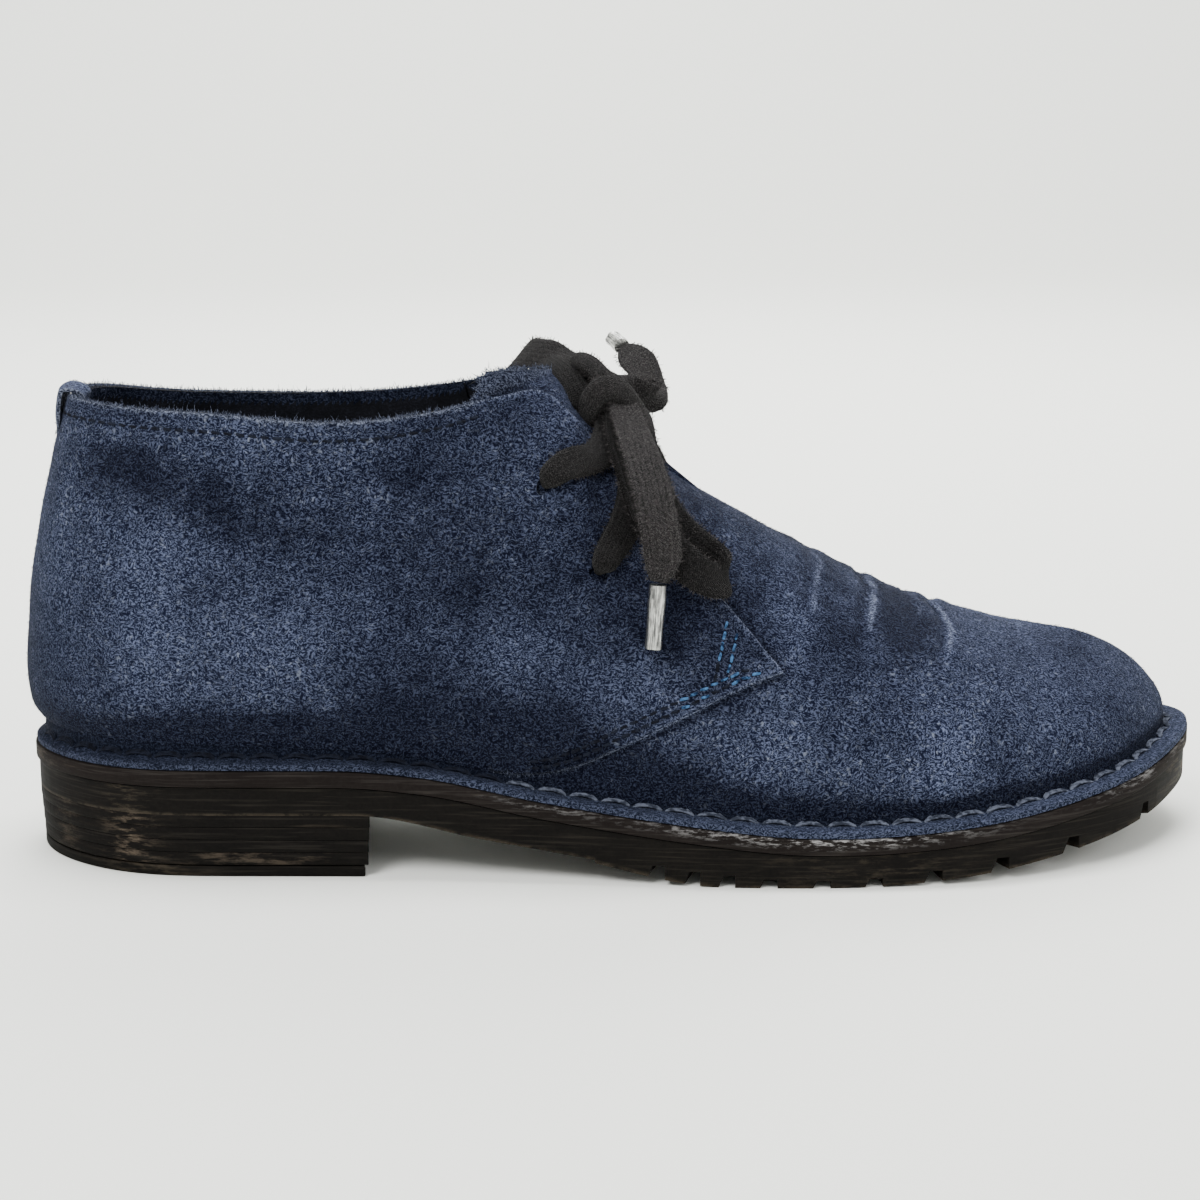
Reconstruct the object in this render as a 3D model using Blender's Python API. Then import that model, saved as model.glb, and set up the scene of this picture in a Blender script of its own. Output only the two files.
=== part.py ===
"""Ankle boot: a right-foot, two-eyelet suede chukka on a stitched-down rubber sole, empty and unbent.

Metres, +Z up, toe towards +X, medial (big toe) side towards +Y. The origin is on the floor under
the middle of the sole. Tables are in millimetres. A closed panel is worked out on a flat pattern
(a, b): a runs round the boot from the back of the heel along the lateral side to the toe and back
along the medial side, b runs from the flange's edge (negative) over the foot line (0) up to the
top line (TOP), which is the collar at the rear and the ridge of the instep and vamp in front.
"""
import math

import bpy
import numpy as np
from mathutils import Vector, kdtree
from mathutils.geometry import delaunay_2d_cdt

MM = 0.001

# ---- driving dimensions, millimetres ----
GAP = 0.3              # between neighbouring pieces
MIDSOLE = 4.0          # thickness of the leather midsole
FLANGE = 1.6           # the upper's turned-out edge, and its base layer
OVERLAY = 1.4          # the quarters, on top of the base layer
OVERLAY_FOOT = 0.3     # the quarters' thickness at the foot line
HALF_TURN = 330.0      # pattern length from heel back to toe tip
TOP = 100.0            # pattern height of the top line
SKIRT = 8.0            # pattern width of the flange
TREAD_START = -7.0     # x of the step where the forepart's rubber begins
HEEL_BREAST = -62.5    # x of the heel's front face
HEEL_TOP = 16.3        # height of the heel stack
TOP_LIFT = 2.8         # thickness of the heel's top lift
HEEL_MIDDLE = (-108.0, -1.0)
HEEL_TAPER = 0.9       # size of the heel stack's foot, as a share of its top
LIFT_BACK = 1.4        # of the top lift's front behind the stack's
HEEL_HOLLOW = 3.0      # of the heel's front
INSOLE = 3.0           # thickness of the insole
INSOLE_ROOM = 0.9      # between the insole and the base layer
SPRING_START = 47.0    # x where the toe starts to rise
TOE_SPRING = 13.4      # rise of the tread at the toe tip
SOLE_TOE = 151.0       # x of the toe tip

# ---- the boot round its edge: one row a section, the same x on both sides ----
# x and y: the sole's edge. inset: from it to the foot line. rise: foot line above the flange.
# top: the top line's x, lateral y, medial y, lateral z, medial z (the ridge: both sides alike).
# bulge, lift: first handle of the section's curve, outwards and up from the foot.
# reach, drop: second handle, back from the top line and down from it.
SECTIONS = (
    # name      x       lat    med  inset rise top x   lat    med  z lat  z med  bulge lift reach drop
    ("heel back", -151.0, 0.0, 0.0, 2.8, 4.5, -136.6, 0.0, 0.0, 117.0, 117.0, 7.2, 10, 10.3, 26),
    ("heel corner", -142.5, -19.5, 19.5, 3.6, 4.5, -132.3, -11.5, 11.5, 116.6, 117.2, 6.4, 12, 7.2, 26),
    ("heel side", -122.0, -33.0, 31.5, 4.8, 4.3, -117.5, -21.0, 21.0, 115.8, 114.6, 4.8, 26, 3.0, 28),
    ("heel", -97.0, -36.5, 33.0, 5.0, 3.6, -97.0, -26.0, 26.0, 114.9, 113.0, 4.4, 27, 1.5, 28),
    ("breast", -70.0, -37.7, 31.5, 5.2, 2.6, -70.0, -27.0, 27.0, 112.8, 112.6, 4.2, 28, 1.0, 28),
    ("waist rear", -46.0, -39.2, 29.5, 5.6, 2.0, -46.0, -25.5, 25.5, 114.8, 114.4, 3.8, 32, 1.5, 26),
    ("waist", -24.0, -41.8, 29.0, 6.0, 1.6, -29.0, -20.5, 20.5, 118.4, 117.6, 3.4, 40, 5.0, 18),
    ("instep top", -2.0, -45.0, 33.5, 6.2, 1.5, -15.0, 1.0, 1.0, 121.4, 121.4, 3.2, 52, 25.0, 0),
    ("instep", 20.0, -48.3, 41.5, 6.4, 1.5, 10.0, 2.0, 2.0, 98.2, 98.2, 3.6, 42, 25.0, 0),
    ("ball rear", 44.0, -50.2, 49.3, 6.5, 1.5, 36.0, 3.0, 3.0, 81.5, 81.5, 4.2, 34, 26.0, 0),
    ("ball", 68.0, -50.0, 51.8, 6.5, 1.5, 62.0, 4.0, 4.0, 66.8, 66.8, 4.6, 27, 27.0, 0),
    ("ball front", 92.0, -46.8, 50.0, 6.5, 1.5, 82.0, 5.0, 5.0, 59.1, 59.1, 4.4, 22, 26.0, 0),
    ("toe side", 114.0, -38.5, 45.0, 6.5, 1.5, 96.0, 6.0, 6.0, 54.8, 54.8, 3.6, 19, 22.0, 0),
    ("toe shoulder", 131.0, -27.5, 38.0, 6.5, 1.5, 105.0, 6.6, 6.6, 52.8, 52.8, 2.6, 16, 19.0, 0),
    ("toe corner", 144.0, -11.5, 26.5, 6.5, 1.5, 110.0, 7.0, 7.0, 52.0, 52.0, 1.6, 13, 17.0, 0),
    ("toe tip", 151.0, 7.5, 7.5, 6.5, 1.5, 112.0, 7.2, 7.2, 51.8, 51.8, 1.0, 12, 16.0, 0),
)
INSTEP_TOP = 7         # the row where the collar ends and the ridge begins

# top of the midsole, and underside of the rubber behind the forepart: x, z
DECK = (
    (-151, 27.4), (-110, 27.5), (-70, 27.4), (-50, 25.8), (-20, 20.2), (15, 15.4), (45, 12.6),
    (60, 12.3),
)
WAIST = ((-151, 16.6), (-66, 16.6), (-35, 11.0), (TREAD_START, 6.6))
TREAD = ((TREAD_START, 5.3), (6, 2.4), (14, 0.9), (22, 0.1), (26, 0.0), (SPRING_START, 0.0))
LUG_DEPTH = (
    (TREAD_START, 1.3), (8, 3.2), (20, 3.4), (34, 2.2), (50, 1.9), (64, 2.2), (78, 2.8), (100, 3.4),
)
# notches of the forepart's lugs: x, lean, length, width
NOTCHES = (
    (8.5, 0.25, 14, 3.2), (17.4, 0.25, 14, 2.8), (25.8, 0.2, 15, 3.0), (36, 0.15, 15, 3.4),
    (49, 0.1, 15, 3.4), (62, 0.0, 15, 3.4), (77, -0.15, 15, 3.4), (94, -0.35, 14, 3.4),
    (113, -0.6, 13, 3.4), (134.5, -1.4, 12, 2.6),
)
CHANNEL_AT = (22, 42, 62, 82, 102)  # x of the zigzag channels' ends
CHANNEL_REACH = 20.0   # of a channel to each side
CHANNEL_POINT = 6.0    # of its middle, forwards
CHANNEL_WIDTH = 3.4

# the quarters' front edge, and the base layer's throat under it: x and z as seen from the side
QUARTER_EDGE = (
    ("at the flange", -32.0, 23.5),
    ("seam rear", -18.0, 26.4),
    ("seam", 6.5, 37.0),
    ("seam front", 27.0, 47.2),
    ("corner", 39.6, 51.4),
    ("facing foot", 33.0, 59.0),
    ("facing low", 24.4, 69.0),
    ("facing", 8.0, 89.0),
    ("facing high", -5.5, 104.5),
    ("facing top", -10.0, 110.0),
    ("front corner", -15.5, 115.8),
    ("hump", -23.0, 118.3),
)
THROAT_EDGE = (
    ("under the quarter", -33.0, 92.0),
    ("below the eyelets", -22.0, 70.0),
    ("lowest", -6.0, 62.0),
    ("front", 9.0, 68.0),
    ("at the facing", 17.0, 78.0),
)
COLLAR_END_X = -33.0   # where the quarter's edge meets the collar
THROAT_REAR_X = -39.0  # where the throat's edge meets the collar
THROAT_RIDGE_X = 23.0  # where it crosses the ridge
EYELETS = (("top", -18.2, 96.8), ("bottom", -5.4, 76.4))
EYELET_RADIUS = 2.3
TONGUE = 1.5           # thickness of the tongue
TONGUE_REAR_X = (-35.8, -28.5)  # of the tongue's sides at the collar, and of its corners' roots
TONGUE_RISE = (7.0, 1.8)  # of the tongue's near and far rear corners above the collar
TONGUE_MIDDLE_RISE = 0.8
TONGUE_GAP = 0.8       # between the tongue and the throat's edge, along the surface
TAB_HALF_WIDTH = 5.5
TAB_OUTSIDE = 10.0     # down the outside of the collar
TAB_INSIDE = 7.0
TAB_THICKNESS = 1.1
TAB_STAND_OFF = 1.1    # of the tab from the collar at its fold, outside
TAB_SLACK = 1.0        # of the tab from the lining, inside
TAB_FOLD = 1.0         # height of the fold's underside over the collar

# ---- the lace: flat bands, each row a place on the centreline, the way it faces, and its width ----
LACE = 1.4             # thickness
LACE_STEP = 4.0        # between a band's points
# over the tongue from the upper eyelets to the knot's underside, and from the lower eyelets across
LACE_TOP_BAR = (
    # x      y      z      facing           width
    (-17.4, -29.2, 98.8, -0.1, -0.9, 0.35, 5.0),
    (-14.4, -28.9, 101.3, -0.1, -0.9, 0.4, 7.0),
    (-10.4, -26.7, 103.9, 0.25, -0.8, 0.5, 8.0),
    (-6.4, -20.9, 107.5, 0.45, -0.65, 0.6, 8.0),
    (-3.6, -13.6, 110.6, 0.6, -0.4, 0.7, 8.0),
    (-2.0, -6.0, 111.6, 0.65, -0.1, 0.75, 8.0),
    (-1.8, 2.0, 111.8, 0.68, 0.0, 0.72, 8.0),
    (-2.2, 9.0, 111.4, 0.65, 0.3, 0.7, 8.0),
    (-4.2, 16.6, 109.7, 0.5, 0.6, 0.6, 8.0),
    (-7.9, 22.6, 106.7, 0.3, 0.8, 0.4, 8.0),
    (-12.6, 25.0, 102.6, 0.0, 0.97, 0.25, 7.0),
    (-17.2, 25.2, 98.8, -0.1, 0.97, 0.2, 5.0),
)
LACE_CROSSING_NEAR = (
    (-4.4, -35.9, 78.4, 0.15, -0.93, 0.3, 5.0),
    (-2.4, -34.2, 81.8, 0.12, -0.92, 0.35, 7.0),
    (0.5, -31.6, 86.2, 0.2, -0.9, 0.4, 8.0),
    (2.6, -27.4, 91.4, 0.4, -0.8, 0.5, 8.0),
    (3.4, -23.0, 97.1, 0.5, -0.65, 0.6, 8.0),
    (3.0, -17.4, 101.7, 0.6, -0.5, 0.65, 8.0),
    (1.7, -10.0, 106.0, 0.6, -0.3, 0.7, 8.0),
    (0.5, -3.5, 109.4, 0.65, -0.1, 0.75, 8.0),
    (-1.2, 3.4, 111.1, 0.65, 0.15, 0.75, 8.0),
    (-3.0, 9.4, 110.2, 0.6, 0.4, 0.7, 7.0),
)
LACE_CROSSING_FAR = (
    (-4.7, 29.0, 78.4, 0.1, 0.98, 0.15, 5.0),
    (-2.6, 28.4, 82.0, 0.1, 0.96, 0.25, 7.0),
    (0.3, 26.8, 87.0, 0.1, 0.93, 0.35, 8.0),
    (2.2, 24.4, 92.2, 0.2, 0.86, 0.45, 8.0),
    (3.2, 21.6, 97.4, 0.35, 0.75, 0.55, 8.0),
    (3.1, 17.2, 101.9, 0.45, 0.6, 0.6, 8.0),
    (1.7, 11.0, 106.0, 0.6, 0.4, 0.7, 8.0),
    (0.6, 5.0, 109.4, 0.65, 0.15, 0.75, 8.0),
    (-1.0, -2.0, 111.1, 0.65, -0.1, 0.75, 8.0),
    (-3.0, -8.4, 110.0, 0.6, -0.3, 0.7, 7.0),
)
# between the lower eyelets, seen over the tongue between the facings
LACE_LOW_BAR = (
    (10.9, -20.9, 89.9, 0.49, -0.58, 0.65, 6.4),
    (10.5, -18.8, 91.7, 0.52, -0.53, 0.67, 8.0),
    (10.0, -15.4, 94.6, 0.56, -0.44, 0.70, 8.0),
    (9.2, -11.1, 97.7, 0.60, -0.33, 0.73, 8.0),
    (8.5, -6.8, 100.2, 0.63, -0.22, 0.75, 8.0),
    (7.8, -2.5, 102.5, 0.64, -0.11, 0.76, 8.0),
    (7.1, 2.2, 103.9, 0.65, 0.05, 0.76, 8.0),
    (8.3, 6.0, 102.2, 0.63, 0.13, 0.76, 8.0),
    (9.3, 9.9, 99.6, 0.60, 0.26, 0.76, 8.0),
    (10.2, 13.5, 96.7, 0.54, 0.41, 0.73, 8.0),
    (11.2, 17.1, 93.5, 0.47, 0.56, 0.69, 8.0),
    (11.9, 19.9, 90.7, 0.39, 0.67, 0.64, 8.0),
)
LACE_KNOT = ((-1.1, -3.2, 117.7), (7.6, 8.4, 3.6), 38.0)   # centre, half sizes, turn about y, degrees
KNOT_RINGS, KNOT_SIDES = 9, 14
LACE_LOOP_NEAR = (
    (0.4, -11.4, 114.8, 0.5, -0.6, 0.6, 5.0),
    (1.0, -19.2, 108.6, 0.5, -0.75, 0.45, 7.5),
    (2.6, -25.8, 101.8, 0.4, -0.85, 0.35, 9.0),
    (5.6, -31.6, 93.2, 0.3, -0.9, 0.35, 9.0),
    (10.2, -35.8, 85.0, 0.2, -0.93, 0.35, 9.0),
    (16.4, -37.4, 78.6, 0.05, -0.94, 0.35, 9.0),
    (22.2, -36.8, 75.0, 0.3, -0.9, 0.35, 9.0),
    (25.6, -34.4, 74.6, 0.9, -0.2, 0.3, 9.0),
    (25.6, -31.6, 76.2, 0.8, 0.5, 0.0, 9.0),
    (22.0, -30.2, 79.2, 0.3, 0.9, -0.3, 9.0),
    (16.4, -29.4, 83.8, 0.0, 0.93, -0.35, 9.0),
    (11.4, -27.0, 89.8, -0.2, 0.9, -0.4, 9.0),
    (8.4, -22.6, 97.4, -0.4, 0.8, -0.45, 9.0),
    (6.6, -17.0, 105.4, -0.5, 0.7, -0.5, 7.5),
    (5.2, -8.4, 113.4, -0.6, 0.5, -0.6, 5.0),
)
LACE_LOOP_FAR = (
    (-7.2, 1.2, 120.9, 0.1, -0.5, 0.85, 5.0),
    (-12.4, 5.4, 123.4, 0.1, -0.5, 0.85, 7.5),
    (-18.0, 10.8, 124.9, -0.2, -0.35, 0.9, 9.0),
    (-22.6, 17.0, 124.4, -0.6, 0.0, 0.8, 9.0),
    (-24.7, 24.4, 121.0, -0.75, 0.35, 0.55, 9.0),
    (-25.8, 29.0, 113.4, -0.7, 0.65, 0.25, 9.0),
    (-25.2, 32.8, 107.6, -0.5, 0.8, 0.0, 9.0),
    (-23.8, 33.2, 101.4, -0.1, 0.6, -0.8, 9.0),
    (-21.0, 31.0, 102.2, 0.3, -0.6, -0.7, 9.0),
    (-19.4, 28.8, 107.6, 0.3, -0.9, -0.2, 9.0),
    (-18.0, 25.4, 113.8, 0.3, -0.85, -0.4, 9.0),
    (-14.6, 20.0, 117.4, 0.2, -0.6, -0.75, 9.0),
    (-9.4, 14.2, 118.8, 0.0, -0.4, -0.9, 7.5),
    (-4.4, 8.6, 119.0, -0.1, -0.2, -0.95, 5.0),
)
LACE_END_NEAR = (
    (3.2, -11.1, 117.3, 0.4, -0.6, 0.7, 6.0),
    (4.4, -18.4, 113.2, 0.4, -0.7, 0.6, 8.5),
    (5.4, -26.4, 108.2, 0.35, -0.85, 0.4, 9.5),
    (7.0, -34.0, 99.4, 0.3, -0.92, 0.3, 10.0),
    (9.0, -38.6, 90.0, 0.25, -0.92, 0.3, 10.0),
    (10.0, -40.2, 82.0, 0.2, -0.95, 0.3, 9.6),
    (9.4, -41.2, 78.0, 0.15, -0.95, 0.3, 7.0),
    (8.9, -41.7, 75.6, 0.15, -0.95, 0.3, 4.2),
)
LACE_END_FAR = (
    (6.6, -0.2, 115.0, 0.6, -0.5, -0.6, 6.0),
    (8.9, 2.4, 112.3, 0.3, -0.8, -0.4, 8.5),
    (9.9, 6.4, 112.9, 0.6, -0.6, 0.5, 9.6),
    (8.9, 10.4, 117.0, 0.5, -0.6, 0.6, 10.0),
    (6.6, 14.2, 121.0, 0.2, -0.75, 0.6, 10.0),
    (4.2, 17.8, 123.3, 0.0, -0.8, 0.6, 7.6),
    (2.8, 20.0, 124.2, 0.0, -0.8, 0.6, 4.2),
)
AGLET_NEAR = ((8.8, -42.0, 75.0), (7.6, -42.6, 59.4))
AGLET_FAR = ((2.2, 21.2, 124.6), (0.2, 29.4, 125.6))
AGLET_RADIUS = 1.9

# colours, linear RGB
NAVY = (0.045, 0.075, 0.16)
BROWN_BLACK = (0.022, 0.016, 0.013)
BLACK = (0.012, 0.011, 0.011)
LINING = (0.02, 0.02, 0.024)
CHARCOAL = (0.022, 0.021, 0.021)
STEEL = (0.55, 0.55, 0.56)


# ---- curves ----

def spline(knots, values, at):
    """Natural cubic spline through values at knots, read at `at`."""
    knots, values, at = (np.asarray(x, float) for x in (knots, values, at))
    step = np.diff(knots)
    slope = np.diff(values) / step
    count = len(knots)
    system = np.eye(count)
    right = np.zeros(count)
    for i in range(1, count - 1):
        system[i, i - 1:i + 2] = step[i - 1], 2 * (step[i - 1] + step[i]), step[i]
        right[i] = 6 * (slope[i] - slope[i - 1])
    bend = np.linalg.solve(system, right)
    k = np.clip(np.searchsorted(knots, at) - 1, 0, count - 2)
    low, high = knots[k + 1] - at, at - knots[k]
    return (
        (bend[k] * low**3 + bend[k + 1] * high**3) / (6 * step[k])
        + (values[k] / step[k] - bend[k] * step[k] / 6) * low
        + (values[k + 1] / step[k] - bend[k + 1] * step[k] / 6) * high
    )


def glide(knots, values, at):
    """Curve through values at knots that never overshoots them."""
    knots, values, at = (np.asarray(x, float) for x in (knots, values, at))
    at = np.clip(at, knots[0], knots[-1])
    step = np.diff(knots)
    slope = np.diff(values) / step
    tangent = np.zeros(len(knots))
    same = slope[:-1] * slope[1:] > 0
    tangent[1:-1][same] = 2 * (slope[:-1] * slope[1:])[same] / (slope[:-1] + slope[1:])[same]
    tangent[0], tangent[-1] = slope[0], slope[-1]
    k = np.clip(np.searchsorted(knots, at) - 1, 0, len(knots) - 2)
    u = (at - knots[k]) / step[k]
    return (
        values[k] * (1 + 2 * u) * (1 - u)**2
        + values[k + 1] * u**2 * (3 - 2 * u)
        + step[k] * u * (1 - u) * (tangent[k] * (1 - u) - tangent[k + 1] * u)
    )


def column(index, rows=SECTIONS):
    return np.array([row[index] for row in rows], float)


X, LAT, MED, INSET, RISE, TOP_X, TOP_LAT, TOP_MED, TOP_Z_LAT, TOP_Z_MED, BULGE, LIFT, REACH, DROP = (
    column(i) for i in range(1, 15)
)


def section_knots():
    """Each section's place between heel back (0) and toe tip (1), the same on both sides."""
    lateral = np.hypot(np.diff(X), np.diff(LAT))
    medial = np.hypot(np.diff(X), np.diff(MED))
    run = np.concatenate([[0], np.cumsum(np.sqrt((lateral + medial) / 2))])
    return run / run[-1]


KNOTS = section_knots()
RIDGE_START = KNOTS[INSTEP_TOP]


def closed(lateral, medial, knots, turn):
    """Smooth closed curve: turn runs 0 to 2 * knots[-1], out along the lateral rows and back."""
    around = 2 * knots[-1]
    places = np.concatenate([knots, around - knots[-2:0:-1]])
    values = np.concatenate([lateral, medial[-2:0:-1]])
    wrapped = np.concatenate([places[-4:] - around, places, places[:5] + around])
    repeated = np.concatenate([values[-4:], values, values[:5]])
    return spline(wrapped, repeated, np.mod(turn, around))


def edge(turn):
    """The sole's edge seen from above: (n, 2)."""
    return np.stack([closed(X, X, KNOTS, turn), closed(LAT, MED, KNOTS, turn)], -1)


def inward(turn):
    """Unit vector into the sole, square to its edge."""
    along = edge(turn + 1e-4) - edge(turn - 1e-4)
    along /= np.linalg.norm(along, axis=-1, keepdims=True)
    return np.stack([-along[..., 1], along[..., 0]], -1)


def deck(x):
    """Top of the midsole."""
    return glide(*zip(*DECK), x) + toe_rise(x)


def toe_rise(x):
    share = np.clip((np.asarray(x, float) - SPRING_START) / (SOLE_TOE - SPRING_START), 0, None)
    return TOE_SPRING * share**2


def tread(x):
    """Face of the forepart's lugs, flat between the last row of TREAD and the one before."""
    return glide(*zip(*TREAD), x) + toe_rise(x)


def web(x):
    """Underside of the rubber between the lugs, at the waist and over the heel."""
    x = np.asarray(x, float)
    return np.where(x < TREAD_START, glide(*zip(*WAIST), x), tread(x) + glide(*zip(*LUG_DEPTH), x))


def flange_top(x):
    return deck(x) + GAP + FLANGE


# ---- the upper's surface ----

def foot(turn):
    """The foot line, where the upper's wall starts."""
    place = edge(turn) + inward(turn) * closed(INSET, INSET, KNOTS, turn)[..., None]
    height = flange_top(place[..., 0]) + closed(RISE, RISE, KNOTS, turn)
    return np.concatenate([place, height[..., None]], -1)


def ridge(along):
    """Ridge of the instep and vamp; along is the place between heel back and toe tip."""
    rows = slice(INSTEP_TOP, None)
    knots = KNOTS[rows]
    return np.stack([spline(knots, c[rows], along) for c in (TOP_X, TOP_LAT, TOP_Z_LAT)], -1)


def collar(turn):
    """Collar and the tongue's root, a closed loop through the rows up to the instep's top."""
    rows = slice(0, INSTEP_TOP + 1)
    knots = KNOTS[rows]
    pairs = ((TOP_X, TOP_X), (TOP_LAT, TOP_MED), (TOP_Z_LAT, TOP_Z_MED))
    return np.stack([closed(a[rows], b[rows], knots, turn) for a, b in pairs], -1)


def ridge_slope(along):
    step = 1e-3
    low = np.clip(along - step, RIDGE_START, 1)
    high = np.clip(along + step, RIDGE_START, 1)
    ahead, behind = ridge(high), ridge(low)
    run = np.maximum(ahead[..., 0] - behind[..., 0], 1e-6)
    return (ahead[..., 2] - behind[..., 2]) / run


def surface(a, b):
    """Outer face of the base layer at pattern place (a, b), in millimetres."""
    a, b = np.broadcast_arrays(np.asarray(a, float), np.asarray(b, float))
    turn = np.mod(a / HALF_TURN, 2)
    along = np.where(turn > 1, 2 - turn, turn)
    start, into, rim = foot(turn), inward(turn), edge(turn)
    open_rows = along < RIDGE_START
    loop_turn = np.where(turn > 1, 2 * RIDGE_START - along, along)
    top = np.where(
        open_rows[..., None],
        collar(np.where(open_rows, loop_turn, 0.0)),
        ridge(np.maximum(along, RIDGE_START)),
    )
    inwards = top[..., :2] - start[..., :2]
    inwards /= np.linalg.norm(inwards, axis=-1, keepdims=True)
    fade = np.clip((along - KNOTS[INSTEP_TOP - 1]) / (RIDGE_START - KNOTS[INSTEP_TOP - 1]), 0, 1)
    slope = ridge_slope(np.maximum(along, RIDGE_START)) * fade
    bulge, lift, reach, drop = (glide(KNOTS, c, along) for c in (BULGE, LIFT, REACH, DROP))
    first, second = start.copy(), top.copy()
    first[..., :2] -= into * bulge[..., None]
    first[..., 2] += lift
    second[..., :2] -= inwards * reach[..., None]
    second[..., 2] -= drop + reach * slope * inwards[..., 0]
    u = np.clip(b / TOP, 0, 1)[..., None]
    wall = (
        start * (1 - u)**3 + 3 * first * u * (1 - u)**2 + 3 * second * u**2 * (1 - u) + top * u**3
    )
    u = np.clip(1 + b / SKIRT, 0, 1)[..., None]
    low = start.copy()
    low[..., 2] = flange_top(start[..., 0])
    outer = np.concatenate([rim + into * 0.4, flange_top(rim[..., :1])], -1)
    flange = outer * (1 - u)**2 + 2 * low * u * (1 - u) + start * u**2
    above = np.clip(b - TOP, 0, None)[..., None] * np.array([-0.55, 0.0, 0.83])
    return np.where(b[..., None] < 0, flange, wall) + above


def pattern_place(x, z, medial):
    """Pattern place of the point on one side of the upper that is at x and z seen from the side."""
    low, high = np.array([0.0, 0.0]), np.array([HALF_TURN, TOP])
    centre, reach = (low + high) / 2, (high - low) / 2
    for _ in range(5):
        a, b = (np.linspace(centre[i] - reach[i], centre[i] + reach[i], 41) for i in (0, 1))
        a, b = np.meshgrid(np.clip(a, 0, HALF_TURN), np.clip(b, 0, TOP))
        found = surface(2 * HALF_TURN - a if medial else a, b)
        best = np.argmin(np.hypot(found[..., 0] - x, found[..., 2] - z))
        centre = np.array([a.flat[best], b.flat[best]])
        reach = reach * 0.15
    return centre


def top_place(x):
    """Pattern a, on the lateral side, of the point of the top line that is at x."""
    a = np.linspace(0, HALF_TURN, 3301)
    return a[np.argmin(np.abs(surface(a, TOP)[:, 0] - x))]


# ---- meshes ----

def inside(points, outline):
    """Whether each point lies inside a closed outline."""
    x, y = points[:, 0], points[:, 1]
    found = np.zeros(len(points), bool)
    for (x0, y0), (x1, y1) in zip(outline, np.roll(outline, -1, 0)):
        crosses = (y0 > y) != (y1 > y)
        if y1 != y0:
            found ^= crosses & (x < (x1 - x0) * (y - y0) / (y1 - y0) + x0)
    return found


def distance_to(points, line):
    """Distance of each point from an open line of points."""
    nearest = np.full(len(points), np.inf)
    for start, end in zip(line[:-1], line[1:]):
        run = end - start
        share = np.clip(((points - start) @ run) / max(run @ run, 1e-12), 0, 1)
        nearest = np.minimum(nearest, np.linalg.norm(points - start - share[:, None] * run, axis=1))
    return nearest


def closed_line(outline):
    return np.vstack([outline, outline[:1]])


def triangulate(points, lines, clearance):
    """Triangles over scattered points that follow the given lines, which keep the points clear."""
    points = np.asarray(points, float)
    for line in lines:
        points = points[distance_to(points, line) > clearance]
    places, edges = [Vector(p) for p in points], []
    for line in lines:
        first = len(places)
        places += [Vector(p) for p in line]
        edges += [(i, i + 1) for i in range(first, len(places) - 1)]
    flat, _, faces, *_ = delaunay_2d_cdt(places, edges, [], 0, 1e-4, False)
    return np.array([tuple(p) for p in flat]), np.array([tuple(f) for f in faces])


def weld(points, reach=0.01):
    """For each point the number of the first one that lies at the same place."""
    tree = kdtree.KDTree(len(points))
    for i, p in enumerate(points):
        tree.insert(p, i)
    tree.balance()
    return np.array([min(i for _, i, _ in tree.find_range(p, reach)) for p in points])


def vertex_normals(points, faces):
    corners = points[faces]
    face_normals = np.cross(corners[:, 1] - corners[:, 0], corners[:, 2] - corners[:, 0])
    total = np.zeros_like(points)
    for k in range(3):
        np.add.at(total, faces[:, k], face_normals)
    return total / np.maximum(np.linalg.norm(total, axis=1, keepdims=True), 1e-12)


def layered(faces, layers, level_points):
    """Closed solid from flat faces: each layer lies between level k and k + 1 on its own faces.

    layers holds one mask of faces for each layer, lowest first, and level_points one array of
    points for each level, so a face carries the layers whose masks name it.
    """
    numbers, places, out = {}, [], []

    def vertex(i, level):
        if (i, level) not in numbers:
            numbers[i, level] = len(places)
            places.append(level_points[level][i])
        return numbers[i, level]

    for level, mask in enumerate(layers):
        present = faces[mask]
        below = layers[level - 1] if level else np.zeros(len(faces), bool)
        above = layers[level + 1] if level + 1 < len(layers) else np.zeros(len(faces), bool)
        for i, j, k in faces[mask & ~above]:
            out.append((vertex(i, level + 1), vertex(j, level + 1), vertex(k, level + 1)))
        for i, j, k in faces[mask & ~below]:
            out.append((vertex(k, level), vertex(j, level), vertex(i, level)))
        directed = {(f[n], f[(n + 1) % 3]) for f in present for n in range(3)}
        for i, j in sorted(directed):
            if (j, i) not in directed:
                out.append((vertex(i, level), vertex(j, level), vertex(j, level + 1)))
                out.append((vertex(i, level), vertex(j, level + 1), vertex(i, level + 1)))
    return np.array(places), out


def material(name, colour, roughness, metallic=0.0):
    made = bpy.data.materials.new(name)
    made.use_nodes = True
    shader = made.node_tree.nodes["Principled BSDF"]
    shader.inputs["Base Color"].default_value = (*colour, 1)
    shader.inputs["Roughness"].default_value = roughness
    shader.inputs["Metallic"].default_value = metallic
    made.diffuse_color = (*colour, 1)
    return made


def make(name, points, faces, colour, roughness, parent, metallic=0.0):
    """A named object from points in millimetres."""
    mesh = bpy.data.meshes.new(name)
    mesh.from_pydata((np.asarray(points) * MM).tolist(), [], [tuple(map(int, f)) for f in faces])
    mesh.validate()
    mesh.update()
    mesh.materials.append(material(name, colour, roughness, metallic))
    mesh.shade_smooth()
    mesh.set_sharp_from_angle(angle=math.radians(35))
    made = bpy.data.objects.new(name, mesh)
    made.parent = parent
    bpy.context.collection.objects.link(made)
    return made


# ---- sole ----

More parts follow.
